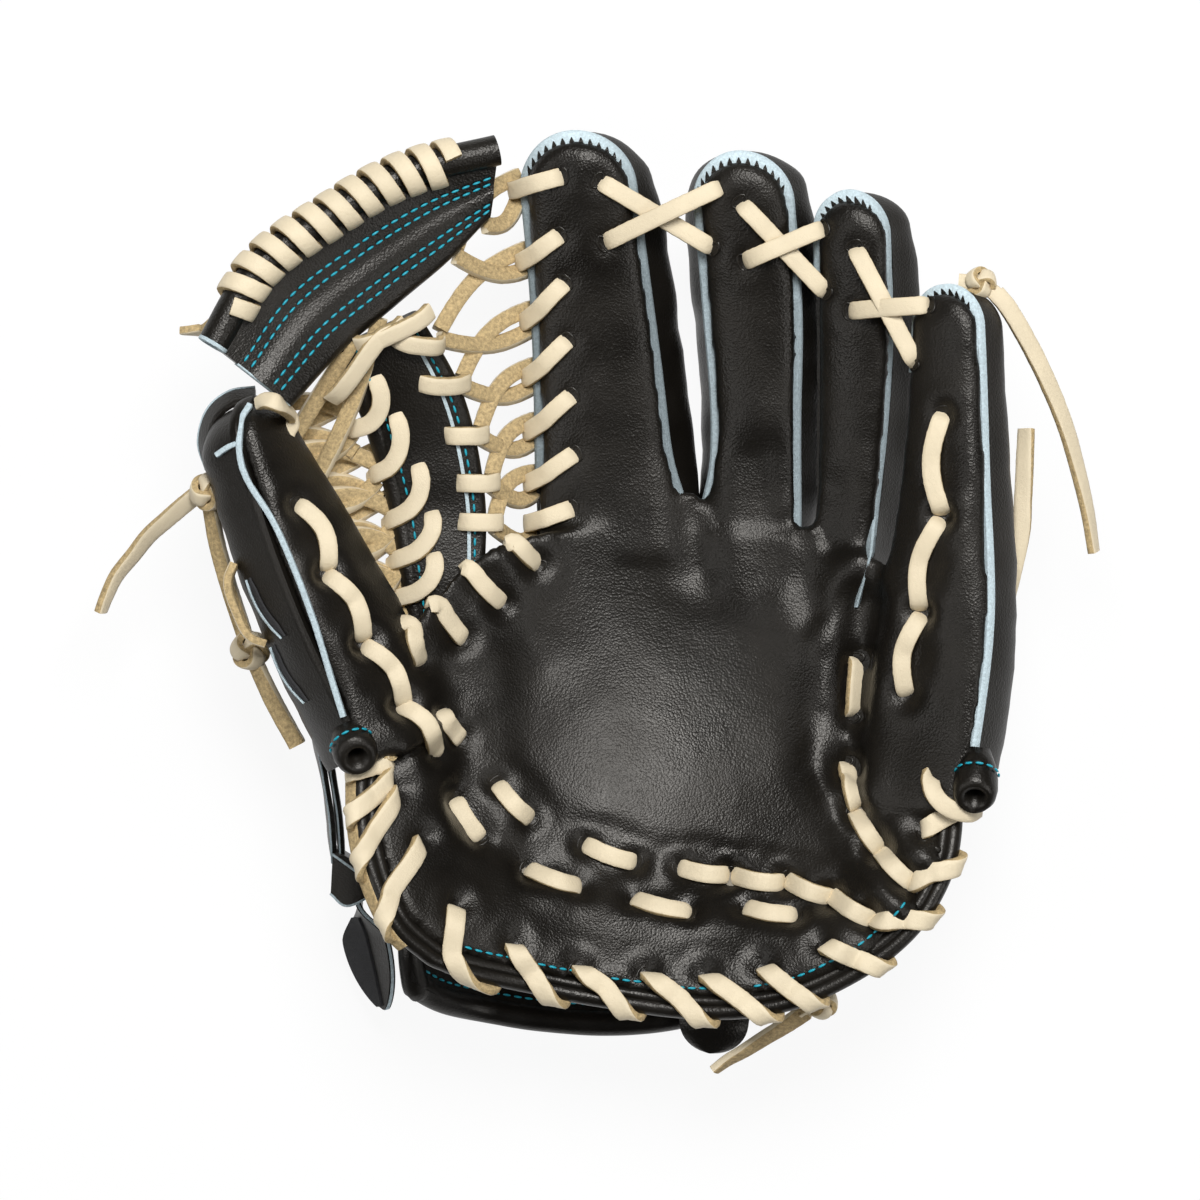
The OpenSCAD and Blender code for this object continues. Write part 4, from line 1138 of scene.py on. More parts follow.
class GLOVE_OT_backs(GloveOperator, bpy.types.Operator):
    """Makes the finger backs, the back panel and the side walls of the hand"""

    bl_idname = "glove.backs"
    bl_label = "Back leather"

    def make(self):
        for name, f in FINGERS.items():
            build = Build()
            build.slab(f.back_surface(0), f.back_surface(-f.back_thickness))
            mesh = build.mesh(name + "_back_leather", 60)
            co = points_of(mesh) / MM
            normal = normals_of(mesh)
            fold = waves(co * (1, 3, 1), 22, 4) * 0.6 + waves(co, 11, 5) * 0.25
            set_points(mesh, (co + normal * fold[:, None]) * MM)
            body = "thumb" if name == "thumb" else "palm"
            dress(name + "_back_leather", mesh, "back", body, name + "_back")
            if name == "thumb":
                SKIN.append(Skin(mesh))
        for node, body in (("back_panel", "palm"), ("pinky_cuff", "palm"), ("thumb_cuff", "thumb")):
            dress(node + "_leather", copied(node, 0.0011, 8, 0.5), "back", body, node)


class GLOVE_OT_welts(GloveOperator, bpy.types.Operator):
    """Makes the suede welts in the finger seams, pinked round each tip"""

    bl_idname = "glove.welts"
    bl_label = "Welts"

    # Where each welt starts and ends along its finger, on the right and on the left
    reach = {"index": (0.04, 0.1), "middle": (0.0, 0.05), "ring": (-0.16, 0.74), "pinky": (0.0, 0.8),
             "thumb": (0.9, 0.0)}
    # How much less it stands out on the right of these fingers
    tight = {"ring": 1.3, "pinky": 0.8}
    # Painted light and shade on the suede: how light it is painted on each finger's right and left side, as
    # the light falls there, and round its tip
    tones = {"index": (0.5, 0.42), "middle": (0.68, 0.72), "ring": (0.75, 0.75), "pinky": (1.08, 1.0),
             "thumb": (1, 1)}
    # The painted highlight round the tips, and the span of painted light and shade that the marks run over
    tip_tone, tone_range = 1.25, 0.95
    # Half thickness, and how far the inner edge lies inside the seam at the sides and at the tip
    half, side_depth, tip_depth = 1.25, 5.2, 8.5
    # The welt of the thumb as it is seen from the front, and its short branch to the back
    thumb_line = ((-106.2, 55.5), (-108.6, 50.5), (-108.9, 40.5), (-106.3, 32.5), (-98.8, 20.4),
                  (-92.2, 5.4), (-86.7, -9.7), (-82.2, -24.8), (-78.4, -37))
    thumb_branch = ((-109.2, 44), (-112.5, 42.8), (-116, 40.5))

    def make(self):
        proud = sizes().welt_width / MM
        for name, f in FINGERS.items():
            grows = (proud - 1.2 - self.tight.get(name, 0), proud - 2.2)
            outer, ups = f.seam_path(grows, 0.8, *self.reach[name])
            outer, ups = spaced(outer, 0.48, ups)
            inner, _ = f.seam_path((-self.side_depth, -self.side_depth), -self.tip_depth, *self.reach[name])
            if name == "ring":
                self.rest_on_palm(outer, f.root[1])
            inner = self.matched(inner, len(outer))
            ups = unit(ups)
            in_way = unit(inner - outer)
            past_tip = np.linspace(0, 1, len(outer)) - self.tip_share(name)
            tip = bell(past_tip, 0.16)
            lap = in_way * (0.8 + 2.4 * tip)[:, None]
            # Painted light and shade as marks for the suede: lighter round the tip, where the highlight
            # falls, darker down the sides
            tone = lerp(np.where(past_tip < 0, *self.tones[name]), self.tip_tone, tip ** 3)
            section = (outer - ups * self.half, outer + ups * (self.half - 0.3),
                       outer + in_way * 0.5 + ups * self.half, outer + lap + ups * (self.half + 0.45),
                       inner + ups * 0.4, inner - ups * self.half)
            build = Build()
            build.rings(np.stack(section, axis=1), ((self.tip_tone - tone) / self.tone_range)[:, None])
            if name == "thumb":
                seam = build.piece("thumb_seam_leather", "edge", "thumb", sharp=60)
                self.thumb_welt(SKIN + [Skin(seam.data)])
            else:
                build.piece(name + "_welt_suede", "seam", "palm", name + "_welt", sharp=60)
                self.pinking(name, outer, in_way, ups, tip)

    def rest_on_palm(self, path, root_y):
        """Lifts the low end of a welt onto the front leather and smooths it there."""
        low = path[:, 1] < root_y + 4
        path[low, 2] = [max(p[2], SKIN[0].at(p[0], p[1])[0][2] - 0.2) for p in path[low]]
        path[:, 2] = np.where(path[:, 1] < root_y + 14, running_mean(path[:, 2], 12), path[:, 2])

    def pinking(self, name, outer, in_way, ups, tip):
        """The pinked edge of the front leather round a tip, on top of the welt."""
        build = Build()
        for i in range(6, len(outer) - 6, 6):
            if tip[i] < 0.78:
                continue
            side = unit(outer[i + 1] - outer[i - 1])
            rows = []
            for depth, half, thick in ((4.2, 1.2, 0.8), (2.6, 0.8, 0.5), (1.4, 0.15, 0.2)):
                mid = outer[i] + in_way[i] * depth + ups[i] * (self.half + 0.16 * depth)
                rows.append([mid + side * (half * a) + ups[i] * (thick * b)
                             for a, b in ((-1, -1), (1, -1), (0.8, 0.4), (-0.8, 0.4))])
            build.rings(rows)
        build.piece(name + "_pinking", "leather", "palm", sharp=40)

    def thumb_welt(self, skins):
        """The thumb's welt and its branch, over the highest leather on their way."""
        build = Build()
        for route, width in ((self.thumb_line, 1.8), (self.thumb_branch, 1.6)):
            path = spaced(np.column_stack([route, np.zeros(len(route))]), 1.2)
            path[:, 2] = [max(k.at(x, y)[0][2] for k in skins if k.covers(x, y)) for x, y, _ in path]
            path[:, 2] = running_mean(path[:, 2], 6) + 0.5
            lace(build, path, (-0.25, 0.1, 1.0), width=width, thick=1.8)
        # Painted light and shade: the welt's top is painted lighter, its sides and underside darker
        build.marks = [0.25 + 0.3 * m for m in build.marks]
        build.piece("thumb_welt_suede", "seam", "thumb", "thumb_welt", sharp=60)

    def tip_share(self, name):
        """Where along the welt the finger's tip comes."""
        a, b = self.reach[name]
        return (1 - a) / (2 - a - b)

    @staticmethod
    def matched(path, count):
        run = run_of(path)
        return read_off(np.linspace(0, run[-1], count), run, path)


class Edge:
    """The rolled edge of the glove's heel, from the thumb round to the little finger."""

    def __init__(self, points):
        self.points = points
        self.fine = curve(points, np.linspace(0, 1, 1201))

    def nearest(self, xy):
        return float(np.argmin(lengths(self.fine - np.asarray(xy))) / 1200)

    def along(self, u):
        return heading(self.points, np.atleast_1d(u), 0.006)

    def place(self, u, out, lift):
        """A place beside the edge, measured outwards in the plan and upwards from the leather."""
        u = row(u)
        xy = curve(self.points, u) + beside(self.along(u)) * column(out)
        return np.column_stack([xy, palm_z(xy[:, 0], xy[:, 1]) + lift])


HEEL = Edge(THUMB_EDGE[::-1] + PAD_BOTTOM[1:2] + HEEL_EDGE)
# The two rolls of the binding: distance out of the edge, height and radius
ROLLS = ((1.5, -1.9, 1.9), (4.5, -3.9, 2.5))


# Rows of thread round the ends of the outer seams, by body
ARCS = {}


class GLOVE_OT_edges(GloveOperator, bpy.types.Operator):
    """Makes the double roll along the heel edge and the rolled ends of the outer seams"""

    bl_idname = "glove.edges"
    bl_label = "Rolled edges"

    def make(self):
        build = Build()
        u = np.linspace(0.012, 0.962, 90)
        for out, lift, radius in ROLLS:
            path = HEEL.place(u, out, lift)
            swell = radius * (1 + 0.05 * waves(path, 13, 8))
            tube(build, path, swell)
        build.piece("heel_edge_rolls", "edge", "fold", "heel_binding", "thumb_binding")
        self.cap("thumb_seam_cap", FINGERS["thumb"], -1, "thumb", "thumb_roll")
        self.cap("pinky_seam_cap", FINGERS["pinky"], 1, "palm", "pinky_roll")

    def cap(self, name, f, side, body, node):
        """A rolled end of leather whose dark bore looks out of the glove."""
        s = np.array([0.045, 0.012, -0.018, -0.042, -0.056, -0.063])
        across, _ = f.axes(s)
        middle = f.centre(s) + across * side * (f.widths[0] + 1.0)
        middle = middle + np.outer((0, 0.3, 1.0, 2.4, 4.4, 6.0), (0, 0, 1))
        way = ways(middle)
        depth = np.array([0.05, 0.3, 0.6, 0.9])[:, None]
        path = np.vstack([middle, lerp(middle[-1], middle[2], depth)])
        way = np.vstack([way, lerp(way[-1], way[2], depth)])
        r = np.array((3.0, 5.3, 6.5, 6.8, 6.3, 5.0, 3.3, 2.6, 2.2, 1.6))
        x = unit(np.cross(way, (1, 0, 0)))
        y = np.cross(x, way)
        build = Build()
        build.rings(path[:, None] + r[:, None, None] * around(x, y, circle(28)))
        build.piece(name, "edge", body, node, sharp=80)
        up = unit(np.array((0, 0, 1.0)) - way[1] * way[1, 2])
        a = np.radians(np.linspace(-85, 85, 40))[:, None]
        ring = up * np.cos(a) + np.cross(way[1], up) * np.sin(a)
        ARCS[body] = lerp(middle[1], middle[2], 0.5) + 6.5 * ring - way[1] * (2.6 * np.cos(a) - 1.0)


def over_skin(a, b, lifts, bow=0.0):
    """A run of lace over the front leather between two places, by shares of the way and heights."""
    a, b = floats(a), floats(b)
    way = unit(b - a)
    spots = [lerp(a, b, t) + np.array((way[1], -way[0])) * bow * math.sin(math.pi * t) for t, _ in lifts]
    hits, normals = (np.array(v) for v in zip(*[SKIN[0].at(*p) for p in spots]))
    t, lift = np.array(lifts).T
    hits[:, 2] = np.maximum(hits[:, 2], np.interp(t, (0, 1), (hits[0, 2], hits[-1, 2])))
    up = unit(normals.mean(axis=0)) + (0, 0, 0.7)
    up[2] = max(up[2], 1.3 * np.linalg.norm(up[:2]))
    up = unit(up)
    return hits + up * lift[:, None], np.tile(up, (len(hits), 1))


# How far a lace goes into its holes, and a stitch from hole to hole: share of the way and height
HOLE_DEPTH = 2.6
STITCH = ((0, -HOLE_DEPTH), (0.03, -0.8), (0.1, 0.9), (0.3, 1.35), (0.5, 1.5), (0.7, 1.35), (0.9, 0.9),
          (0.97, -0.8), (1, -HOLE_DEPTH))


class GLOVE_OT_front_laces(GloveOperator, bpy.types.Operator):
    """Makes the lace stitches on the front, the crossed laces and the turns round the rolled edges"""

    bl_idname = "glove.front_laces"
    bl_label = "Laces on the front"

    # A hole's half sizes across and along the lace, its distance past the lace's end, and its rim
    hole_half, hole_shift, rim_radius = (2.6, 1.5), 0.8, 0.45
    # A turn: first over the leather, by share of the way from the edge to the hole and height above it,
    # then over the rolls and under them, by distance out of the edge and height
    over_leather = ((1, -HOLE_DEPTH), (0.93, -0.6), (0.78, 1.1), (0.4, 1.7))
    over_rolls = ((0.4, 1.5), (2.6, 1.2), (5.0, -0.2), (7.4, -2.4), (7.9, -5.2), (6.2, -7.8), (2.6, -8.8))
    # The last turn, under the rolled seam end of the little finger: places and heights above the leather
    cap_turn = ((95.8, -54.2, -HOLE_DEPTH), (95.7, -56.2, 0.6), (96.9, -60.2, 1.7), (100.0, -63.4, 1.7),
                (104.0, -65.2, 1.7), (107.8, -65.6, 0.0), (110.4, -64.4, -3.0))

    def make(self):
        for name, node, stitches, bow in (("palm_stitches", "palm_lace", PALM_STITCHES, 0.6),
                                          ("pinky_scallops", "pinky_edge_lace", PINKY_SCALLOPS, 3.4),
                                          ("thumb_scallops", "thumb_edge_lace", THUMB_SCALLOPS, -3.6),
                                          ("web_foot_stitches", "web_base_lace", BASE_STITCHES, 1.0)):
            build = Build()
            for a, b in stitches:
                lace(build, *over_skin(a, b, STITCH, bow), taper=0.4)
            build.piece(name, "lace", "fold", node)
        for node, pair in CROSSINGS.items():
            build = Build()
            for (a, b), lift in zip(pair, (0.0, 2.3)):
                self.cross(build, a, b, lift)
            build.piece(node + "_pair", "lace", "palm", node)
        for name, node, wraps in (("heel_turns", "heel_lace", HEEL_WRAPS),
                                  ("thumb_heel_turns", "thumb_heel_lace", THUMB_WRAPS)):
            build = Build()
            for hole, end in wraps:
                self.turn(build, hole, end)
            if wraps is THUMB_WRAPS:
                u = np.linspace(0.02, 0.178, 40)
                side = HEEL.place(u, 8, 0) - HEEL.place(u, 0, 0)
                lace(build, HEEL.place(u, 6.8, -6.5), side, width=5, flip=True)
            else:
                self.turn_at_cap(build)
            build.piece(name, "lace", "fold", node)
        self.holes()

    def holes(self):
        """The rims of the punched holes where the laces go into the leather."""
        build = Build()
        runs = list(PALM_STITCHES + PINKY_SCALLOPS + THUMB_SCALLOPS)
        runs += [s for pair in CROSSINGS.values() for s in pair]
        ends = [pair for a, b in runs for pair in ((a, b), (b, a))] + list(HEEL_WRAPS + INDEX_EDGE_WRAPS)
        ends += [sorted(s, key=lambda p: p[1]) for s in BASE_STITCHES]
        round_hole = circle(18)[:, None]
        round_rim = circle(8)[None, :, None]
        c, n = np.cos(round_hole), np.sin(round_hole)
        wide, deep = self.hole_half
        for hole, other in ends:
            out = unit(np.subtract(hole, other))
            spot, normal = SKIN[0].at(*(np.array(hole) + out * self.hole_shift))
            along = unit(np.append(out, 0) - normal * (normal[:2] @ out))
            across = np.cross(normal, along)
            ring = spot + along * c * deep + across * n * wide
            way = unit(along * c * wide + across * n * deep)
            rim = way[:, None] * np.cos(round_rim) + normal * np.sin(round_rim)
            build.rings(ring[:, None] + self.rim_radius * rim, closed=True)
        build.piece("lace_holes", "edge", "fold")

    def cross(self, build, a, b, lift):
        """A lace over the gap between two fingers."""
        a, b = floats(a), floats(b)
        start, end = SKIN[0].at(*a)[0], SKIN[0].at(*b)[0]
        points = [start - (0, 0, HOLE_DEPTH)]
        for t in (0.06, 0.2, 0.35, 0.5, 0.65, 0.8, 0.94):
            p = lerp(start, end, t)
            hit = SKIN[0].below(p[0], p[1])[0]
            high = max(p[2], hit[2]) if hit else p[2]
            rise = 1.2 * min(1, 8 * min(t, 1 - t)) + lift * math.sin(math.pi * t)
            points.append((p[0], p[1], high + rise))
        lace(build, points + [end - (0, 0, HOLE_DEPTH)], (0, 0, 1), taper=0.3)

    def turn_at_cap(self, build):
        """The last turn, close under the rolled seam end of the little finger."""
        points = []
        for x, y, lift in self.cap_turn:
            z = SKIN[0].at(x, y)[0][2] if SKIN[0].covers(x, y) else points[-1][2] - 1.9
            points.append((x, y, z + lift))
        lace(build, points, (0.25, -0.25, 1.0))

    def turn(self, build, hole, end):
        """A turn of lace from its hole over both rolls and under them."""
        hole = floats(hole)
        u0, u1 = HEEL.nearest(hole), HEEL.nearest(end)
        inset = float(np.linalg.norm(curve(HEEL.points, u0)[0] - hole))
        points = []
        for k, step in enumerate(self.over_leather + self.over_rolls):
            u = lerp(u0, u1, min(1.15 * k / 8, 1.2))
            if k < len(self.over_leather):
                share, height = step
                spot = lerp(hole, HEEL.place(u, -inset * share, 0)[0, :2], min(1, 0.25 * k))
                points.append(SKIN[0].at(*spot, height)[0])
            else:
                points.append(HEEL.place(u, *step)[0])
        points = np.array(points)
        along = np.append(HEEL.along(lerp(u0, u1, 0.5))[0], 0)
        ups = unit(np.cross(ways(points), along))
        lace(build, points, ups, width=5.8, taper=0.35)


def knot(build, spot, size, turn=0.0):
    """An overhand knot in the lace."""
    t = np.linspace(0, 2 * math.pi, 40)
    wide = (1.7 + 0.9 * np.cos(3 * t)) * size
    a = 2 * t + turn
    loop = np.stack([wide * np.cos(a), wide * np.sin(a), 1.4 * size * np.sin(3 * t)], axis=1)
    lace(build, floats(spot) + loop, unit(loop), width=2.8 * size, thick=1.3 * size, step=0.8)


class GLOVE_OT_knots(GloveOperator, bpy.types.Operator):
    """Makes the knots, the laces and loop on the back of the thumb, and the free end of the bar's lace"""

    bl_idname = "glove.knots"
    bl_label = "Knots and thumb lace"

    # The turn over the thumb's tip: places and heights above the leather
    tip_turn = ((-103.5, 56, -1.5), (-101.5, 56.3, 1.0), (-98.3, 55.2, 1.8), (-95.5, 51.5, 1.5),
                (-94.3, 47, -1.2))
    # The leather loop behind the tip: its route, the directions that it faces, and its width
    loop_route = ((-118, 36, 60), (-120.3, 44, 64), (-118, 52.5, 67), (-112.3, 57.3, 69), (-105, 58.6, 69.5))
    loop_faces = ((-1, 0, 0.7), (-1, 0.2, 0.7), (-0.7, 0.6, 0.7), (-0.4, 0.8, 0.7), (0, 1, 0.7))
    loop_width = 7
    # The lace down the back of the thumb: routes above and below its lower knot, and their widths
    back_laces = ((((-119, 26, 61), (-117, 14, 57.5), (-113.5, 1, 55), (-109, -13, 54)), 4.8),
                  (((-106, -21, 53), (-100.5, -33, 50), (-93.5, -46, 47.5)), 5.2))
    slit_ends = (((-107.4, 3.6), (-96.8, -13.7)), ((-100.4, -16.4), (-90.3, -33)))

    def make(self):
        under_heel = HEEL.place(HEEL.nearest((63, -127.8)), 3.4, -5.2)[0]
        for name, root, spot, tail, up in (
                ("heel_knot", under_heel, (63.9, -122.9, 63.5), (57.8, -126.4, 61.0), (0.4, -0.8, 0.4)),
                ("pinky_knot", (104.5, 92.5, 69.5), (110.9, 92, 70.5), (116.4, 88, 70), (0, 0, 1))):
            build = Build()
            knot(build, spot, 1.45)
            path = [root, lerp(root, spot, 0.5), spot, lerp(spot, tail, 0.5), tail]
            lace(build, path, up, width=4.6, thick=2.2)
            build.piece(name + "_lace", "lace", "palm", name)
        self.thumb_lace()
        self.thumb_tip()
        self.slits()
        build = Build()
        lace(build, WEB_TAIL, (0.2, -0.5, 1), twist=60)
        build.piece("web_bar_lace_end", "lace", "bar", "web_lace_tail")

    def thumb_lace(self):
        """The lace along the back of the thumb, knotted at the top and again lower down."""
        build = Build()
        knot(build, (-119.3, 30, 63.4), 1.75, 0.8)
        knot(build, (-107.4, -17.5, 54), 1.8, 0.3)
        f = FINGERS["thumb"]
        s = np.linspace(0.35, 0.593, 9)
        lift = 5.2 - 4.2 * np.abs(np.linspace(-1, 1, 9)) ** 4
        points, ups = zip(*[f.on_back(v, 142, h) for v, h in zip(s, lift)])
        lace(build, np.concatenate(points), np.concatenate(ups), twist=25, taper=0.4)
        for route, width in self.back_laces:
            lace(build, route, (-0.7, -0.3, 0.7), width=width, thick=2.8, twist=40, flip=True)
        build.piece("thumb_back_turns", "lace", "thumb", "thumb_back_lace")

    def thumb_tip(self):
        """A turn of lace over the thumb's tip, and the leather loop behind it with its pale cut edge."""
        build = Build()
        points, ups = [], []
        for x, y, lift in self.tip_turn:
            p, n = SKIN[0].at(x, y)
            points.append(np.array((x, y, p[2])) + n * lift)
            ups.append(n + (0.3, 0.3, 0.6))
        lace(build, points, ups, width=5.2, taper=0.3)
        build.piece("thumb_tip_turn", "lace", "thumb")
        route, faces = np.array(self.loop_route), np.array(self.loop_faces)
        build, rim = Build(), Build()
        lace(build, route, faces, width=self.loop_width, thick=1.7)
        side = unit(np.cross(faces, ways(route)))
        lace(rim, route + side * (self.loop_width / 2), faces, width=0.8, thick=1.9)
        build.piece("thumb_loop_strap", "back", "thumb")
        rim.piece("thumb_loop_edge", "welt", "thumb")

    def slits(self):
        """Two slits in the back of the thumb, each with a pale cut edge and a dark strip beside it, the
        painted shade in the slit's opening.
        """
        pale, dark = Build(), Build()
        for a, b in self.slit_ends:
            t = np.linspace(0, 1, 12)
            side = np.array((0.85, 0.53))
            line = lerp(a, b, t[:, None]) - np.outer(np.sin(math.pi * t) * 1.5, side)
            # The dark strips, in the black hook pile finish, are painted shade where each slit opens
            for build, shift, width, lift in ((pale, 0.0, 0.9, 0.25), (dark, 1.3, 2.4, 0.1)):
                hits, ups = zip(*[SKIN[1].at(*(p + side * shift), lift) for p in line])
                lace(build, hits, ups, width=width, thick=0.9, taper=0.8)
        pale.piece("thumb_slit_edges", "welt", "thumb")
        dark.piece("thumb_slit_painted_shade", "hook", "thumb", slot="leather")


class Strip:
    """A strap along a route: its centre, its direction to one side and its direction up."""

    def __init__(self, route, widths):
        self.route, self.widths = floats(route), widths
        self.fine = curve(route, np.linspace(0, 1, 401))

    def frame(self, u):
        u = row(u)
        way = heading(self.route, u)
        return curve(self.route, u), *level_axes(way)

    def width(self, u):
        return curve(self.widths, row(u))[:, 0]

    def at(self, u, share, lift):
        """A place at a share of the half width to one side, lifted off the strap's middle."""
        centre, side, up = self.frame(u)
        sideways = side * (self.width(u) / 2 * share)[:, None]
        return centre + sideways + up * column(lift)

    def above(self, x, y, lift):
        """The place on the strap over a point of the plan."""
        u = float(np.argmin(lengths(self.fine[:, :2] - (x, y))) / 400)
        centre, side, up = (v[0] for v in self.frame(u))
        across = float((np.array((x, y)) - centre[:2]) @ unit(side[:2]))
        return centre + side * across + up * lift, up


POST = Strip(((-48, -14, 43), (-49.5, 6, 45), (-51.5, 28, 46), (-58, 54, 52), (-69, 78, 66)),
             (22, 25, 29, 31, 27))
FLAP_ROUTE = ((-94, 55, 76), (-79, 72, 69), (-63, 86, 65), (-48, 99, 62), (-36, 112, 61))
BAR_RADIUS, FLAP_HALF, BAR_TURNS = 4.6, 1.7, 11
# Lace on the post: short turns over its right edge, and long ones round its left roll
POST_TURNS = (((-56.7, 63.6), (-43.8, 63.0)), ((-48.6, 47.7), (-38.4, 47.7)), ((-45.0, 33.3), (-35.1, 33.3)),
              ((-44.4, 21.3), (-34.2, 21.0)))
POST_ARCS = (((-70.5, 65.7), (-78.0, 49.2)), ((-64.5, 54.6), (-71.1, 35.4)), ((-57.6, 39.3), (-66.6, 21.6)),
             ((-53.4, 24.6), (-65.1, 9.6)), ((-52.8, 12.0), (-64.5, -1.8)))
# How those laces run from end to end: share of the way, height above the post's middle and bow sideways
POST_TURN_STEPS = ((0, 0.2, 0), (0.05, 2.4, 0), (0.3, 4.2, 0), (0.65, 4.0, 0), (0.9, 3.0, 0))
POST_ARC_STEPS = ((0, 0.2, 0), (0.06, 2.5, 1.2), (0.25, 4.0, 3.6), (0.5, 4.3, 4.8), (0.75, 3.8, 4.0),
                  (0.95, 1.6, 1.4), (1.08, -2.6, 0))
# Lace between the post's head and the flap
FLAP_LACE_STEPS = ((0, 3.0, 0), (0.1, 5.2, 0), (0.3, 6.6, 0), (0.7, 6.6, 0), (0.9, 5.2, 0), (1, 3.0, 0))
FLAP_LACES = (((-76.8, 78.6), (-54.9, 87.6)), ((-63.9, 86.1), (-83.4, 59.1)), ((-63.9, 77.1), (-50.4, 75.6)))


def bar_frame(u):
    """The bar's centre, its way, the directions down the flap and out of it, and the flap's reach."""
    u = row(u)
    centre = curve(BAR_ROUTE, u)
    way = heading(BAR_ROUTE, u)
    reach = curve(FLAP_ROUTE, u) - centre
    drift = way * np.sum(reach * way, axis=1, keepdims=True)
    down = unit(reach - drift)
    return centre, way, down, np.cross(down, way), np.sum(reach * down, axis=1), drift


def flap_half(v):
    """Half the flap's thickness, which is fuller towards its free edge."""
    return FLAP_HALF * (1 + 0.75 * smooth_step(0.48, 0.62, v))


def flap_at(u, v, lift):
    """A place on the flap: u along the bar, v from the roll to the free edge."""
    centre, _, down, up, depth, drift = bar_frame(u)
    v = np.broadcast_to(floats(v), len(centre))
    return centre + down * (depth * v)[:, None] + drift * v[:, None] + up * column(lift)


class GLOVE_OT_web(GloveOperator, bpy.types.Operator):
    """Makes the web: its rolled bar and flap, the winding, the post and the nets of lace"""

    bl_idname = "glove.web"
    bl_label = "Web"

    # The cut edge at the bar's open end: radius and distance past the end
    bar_rim = ((4.5, -1.2), (4.7, -0.8), (4.7, 0.2), (4.4, 0.4), (3.2, 0.4), (2.6, -1.2))
    # A turn over the index finger's edge: share of the way and height above the leather
    edge_turn = ((0, -2.4), (0.06, -0.4), (0.2, 1.1), (0.6, 1.7), (0.9, 1.6))
    # The edge of the thumb on the side of the web, as seen from the front
    thumb_rim = ((-94.8, 46.8), (-90.6, 39), (-85.5, 34.2), (-82.8, 24.9), (-77.1, 14.7), (-72, 4.8),
                 (-68.7, -3), (-63.6, -9.6), (-57.6, -21.3))
    # Strands of the thumb's net: shift at the post, distance along the thumb, sag, bend and twist
    thumb_strands = (((0, 3, 0), 6, 1.0, (0, 3.0, 0), 50), ((0, -2, 0), -12, 2.5, (2, -1.5, 0), -60),
                     ((1, -8, -2), -3, 4.0, (0, 3.0, 0), 70), ((1, 8, -2), -5, 5.0, (-2, 0, 0), -40))

    def make(self):
        self.bar()
        self.winding()
        self.post()
        self.post_laces()
        self.index_net()
        self.thumb_net()

    def bar(self):
        build = Build()
        u = np.linspace(0, 1, 90)
        centre, _, down, up, _, _ = bar_frame(u)
        wall = around(down, up, circle(28))
        swell = 1 + 0.05 * waves(centre, 16, 6)[:, None, None]
        outer = centre[:, None] + wall * BAR_RADIUS * swell
        inner = centre[:, None] + wall * (BAR_RADIUS - 2.2)
        build.rings(np.concatenate([outer, inner[::-1]]), closed=True)
        v = to_round_end(0.06, 0.9, 22, 7)
        pillow = flap_half(v) * np.maximum(rounded(v, 0.9), 0.12)
        rows = np.stack([flap_at(u, k, 0) for k in v], axis=1)
        rough = waves(rows, 18, 9) * 0.5
        build.slab(*[rows + up[:, None] * (pillow * side + rough)[..., None] for side in (1, -0.9)])
        build.piece("web_bar_leather", "leather", "bar", "web_bar", sharp=50)
        build = Build()
        centre, way, down, up, _, _ = bar_frame(0.0)
        wall = around(down, up, circle(28))[0]
        rings = [centre - way * back + wall * radius for radius, back in self.bar_rim]
        build.rings(np.array(rings), closed=True)
        cut = np.concatenate([flap_at(0.0, k, 0.2) for k in np.linspace(0.3, 0.97, 20)])
        lace(build, cut, up[0], width=0.8, thick=3.4)
        build.piece("web_bar_rims", "welt", "bar")

    def winding(self):
        build = Build()
        turns = np.linspace(0, BAR_TURNS, BAR_TURNS * 16 + 1)
        u = lerp(0.12, 0.87, turns / BAR_TURNS)
        centre, way, *_ = bar_frame(u)
        side, up = level_axes(way)
        a = (math.pi / 2 - 2 * math.pi * turns)[:, None]
        ring = side * np.cos(a) + up * np.sin(a)
        radius = BAR_RADIUS + 1.35 + 0.25 * np.sin(turns * 5.1)[:, None]
        lace(build, centre + ring * radius, ring, width=5.3, step=1.0)
        build.piece("web_bar_winding", "lace", "bar", "web_wrap_lace")

    def post(self):
        build = Build()
        u = np.linspace(0, 1, 70)
        share = to_round_end(-0.72, 0.86, 20, 6)
        edge = rounded(share, 0.86, 0.02)
        crown = 1.9 * edge + 1.0 * (1 - share ** 2)
        top = np.stack([POST.at(u, k, h) for k, h in zip(share, crown)], axis=1)
        low = np.stack([POST.at(u, k, -1.9 * e) for k, e in zip(share, edge)], axis=1)
        bumps = waves(top, 15, 11)[..., None] * (0, 0, 0.5)
        build.slab(top + bumps, low)
        roll = POST.at(u, -0.82, -0.4)
        tube(build, roll, 3.1 * (1 + 0.06 * waves(roll, 9, 12)))
        build.piece("web_post_leather", "leather", "palm", "web_post", sharp=60)
        build = Build()
        lace(build, POST.at(u, 0.62, 2.65), POST.frame(u)[2], width=1.1, thick=0.9)
        build.piece("web_post_piping", "welt", "palm")

    def over_post(self, ends, steps):
        """Places over the post between two points of the plan, and directions out of it, for each step."""
        (x0, y0), (x1, y1) = ends
        points, ups = zip(*[POST.above(lerp(x0, x1, t) + bow, lerp(y0, y1, t) - 0.35 * bow, lift)
                            for t, lift, bow in steps])
        return list(points), list(ups)

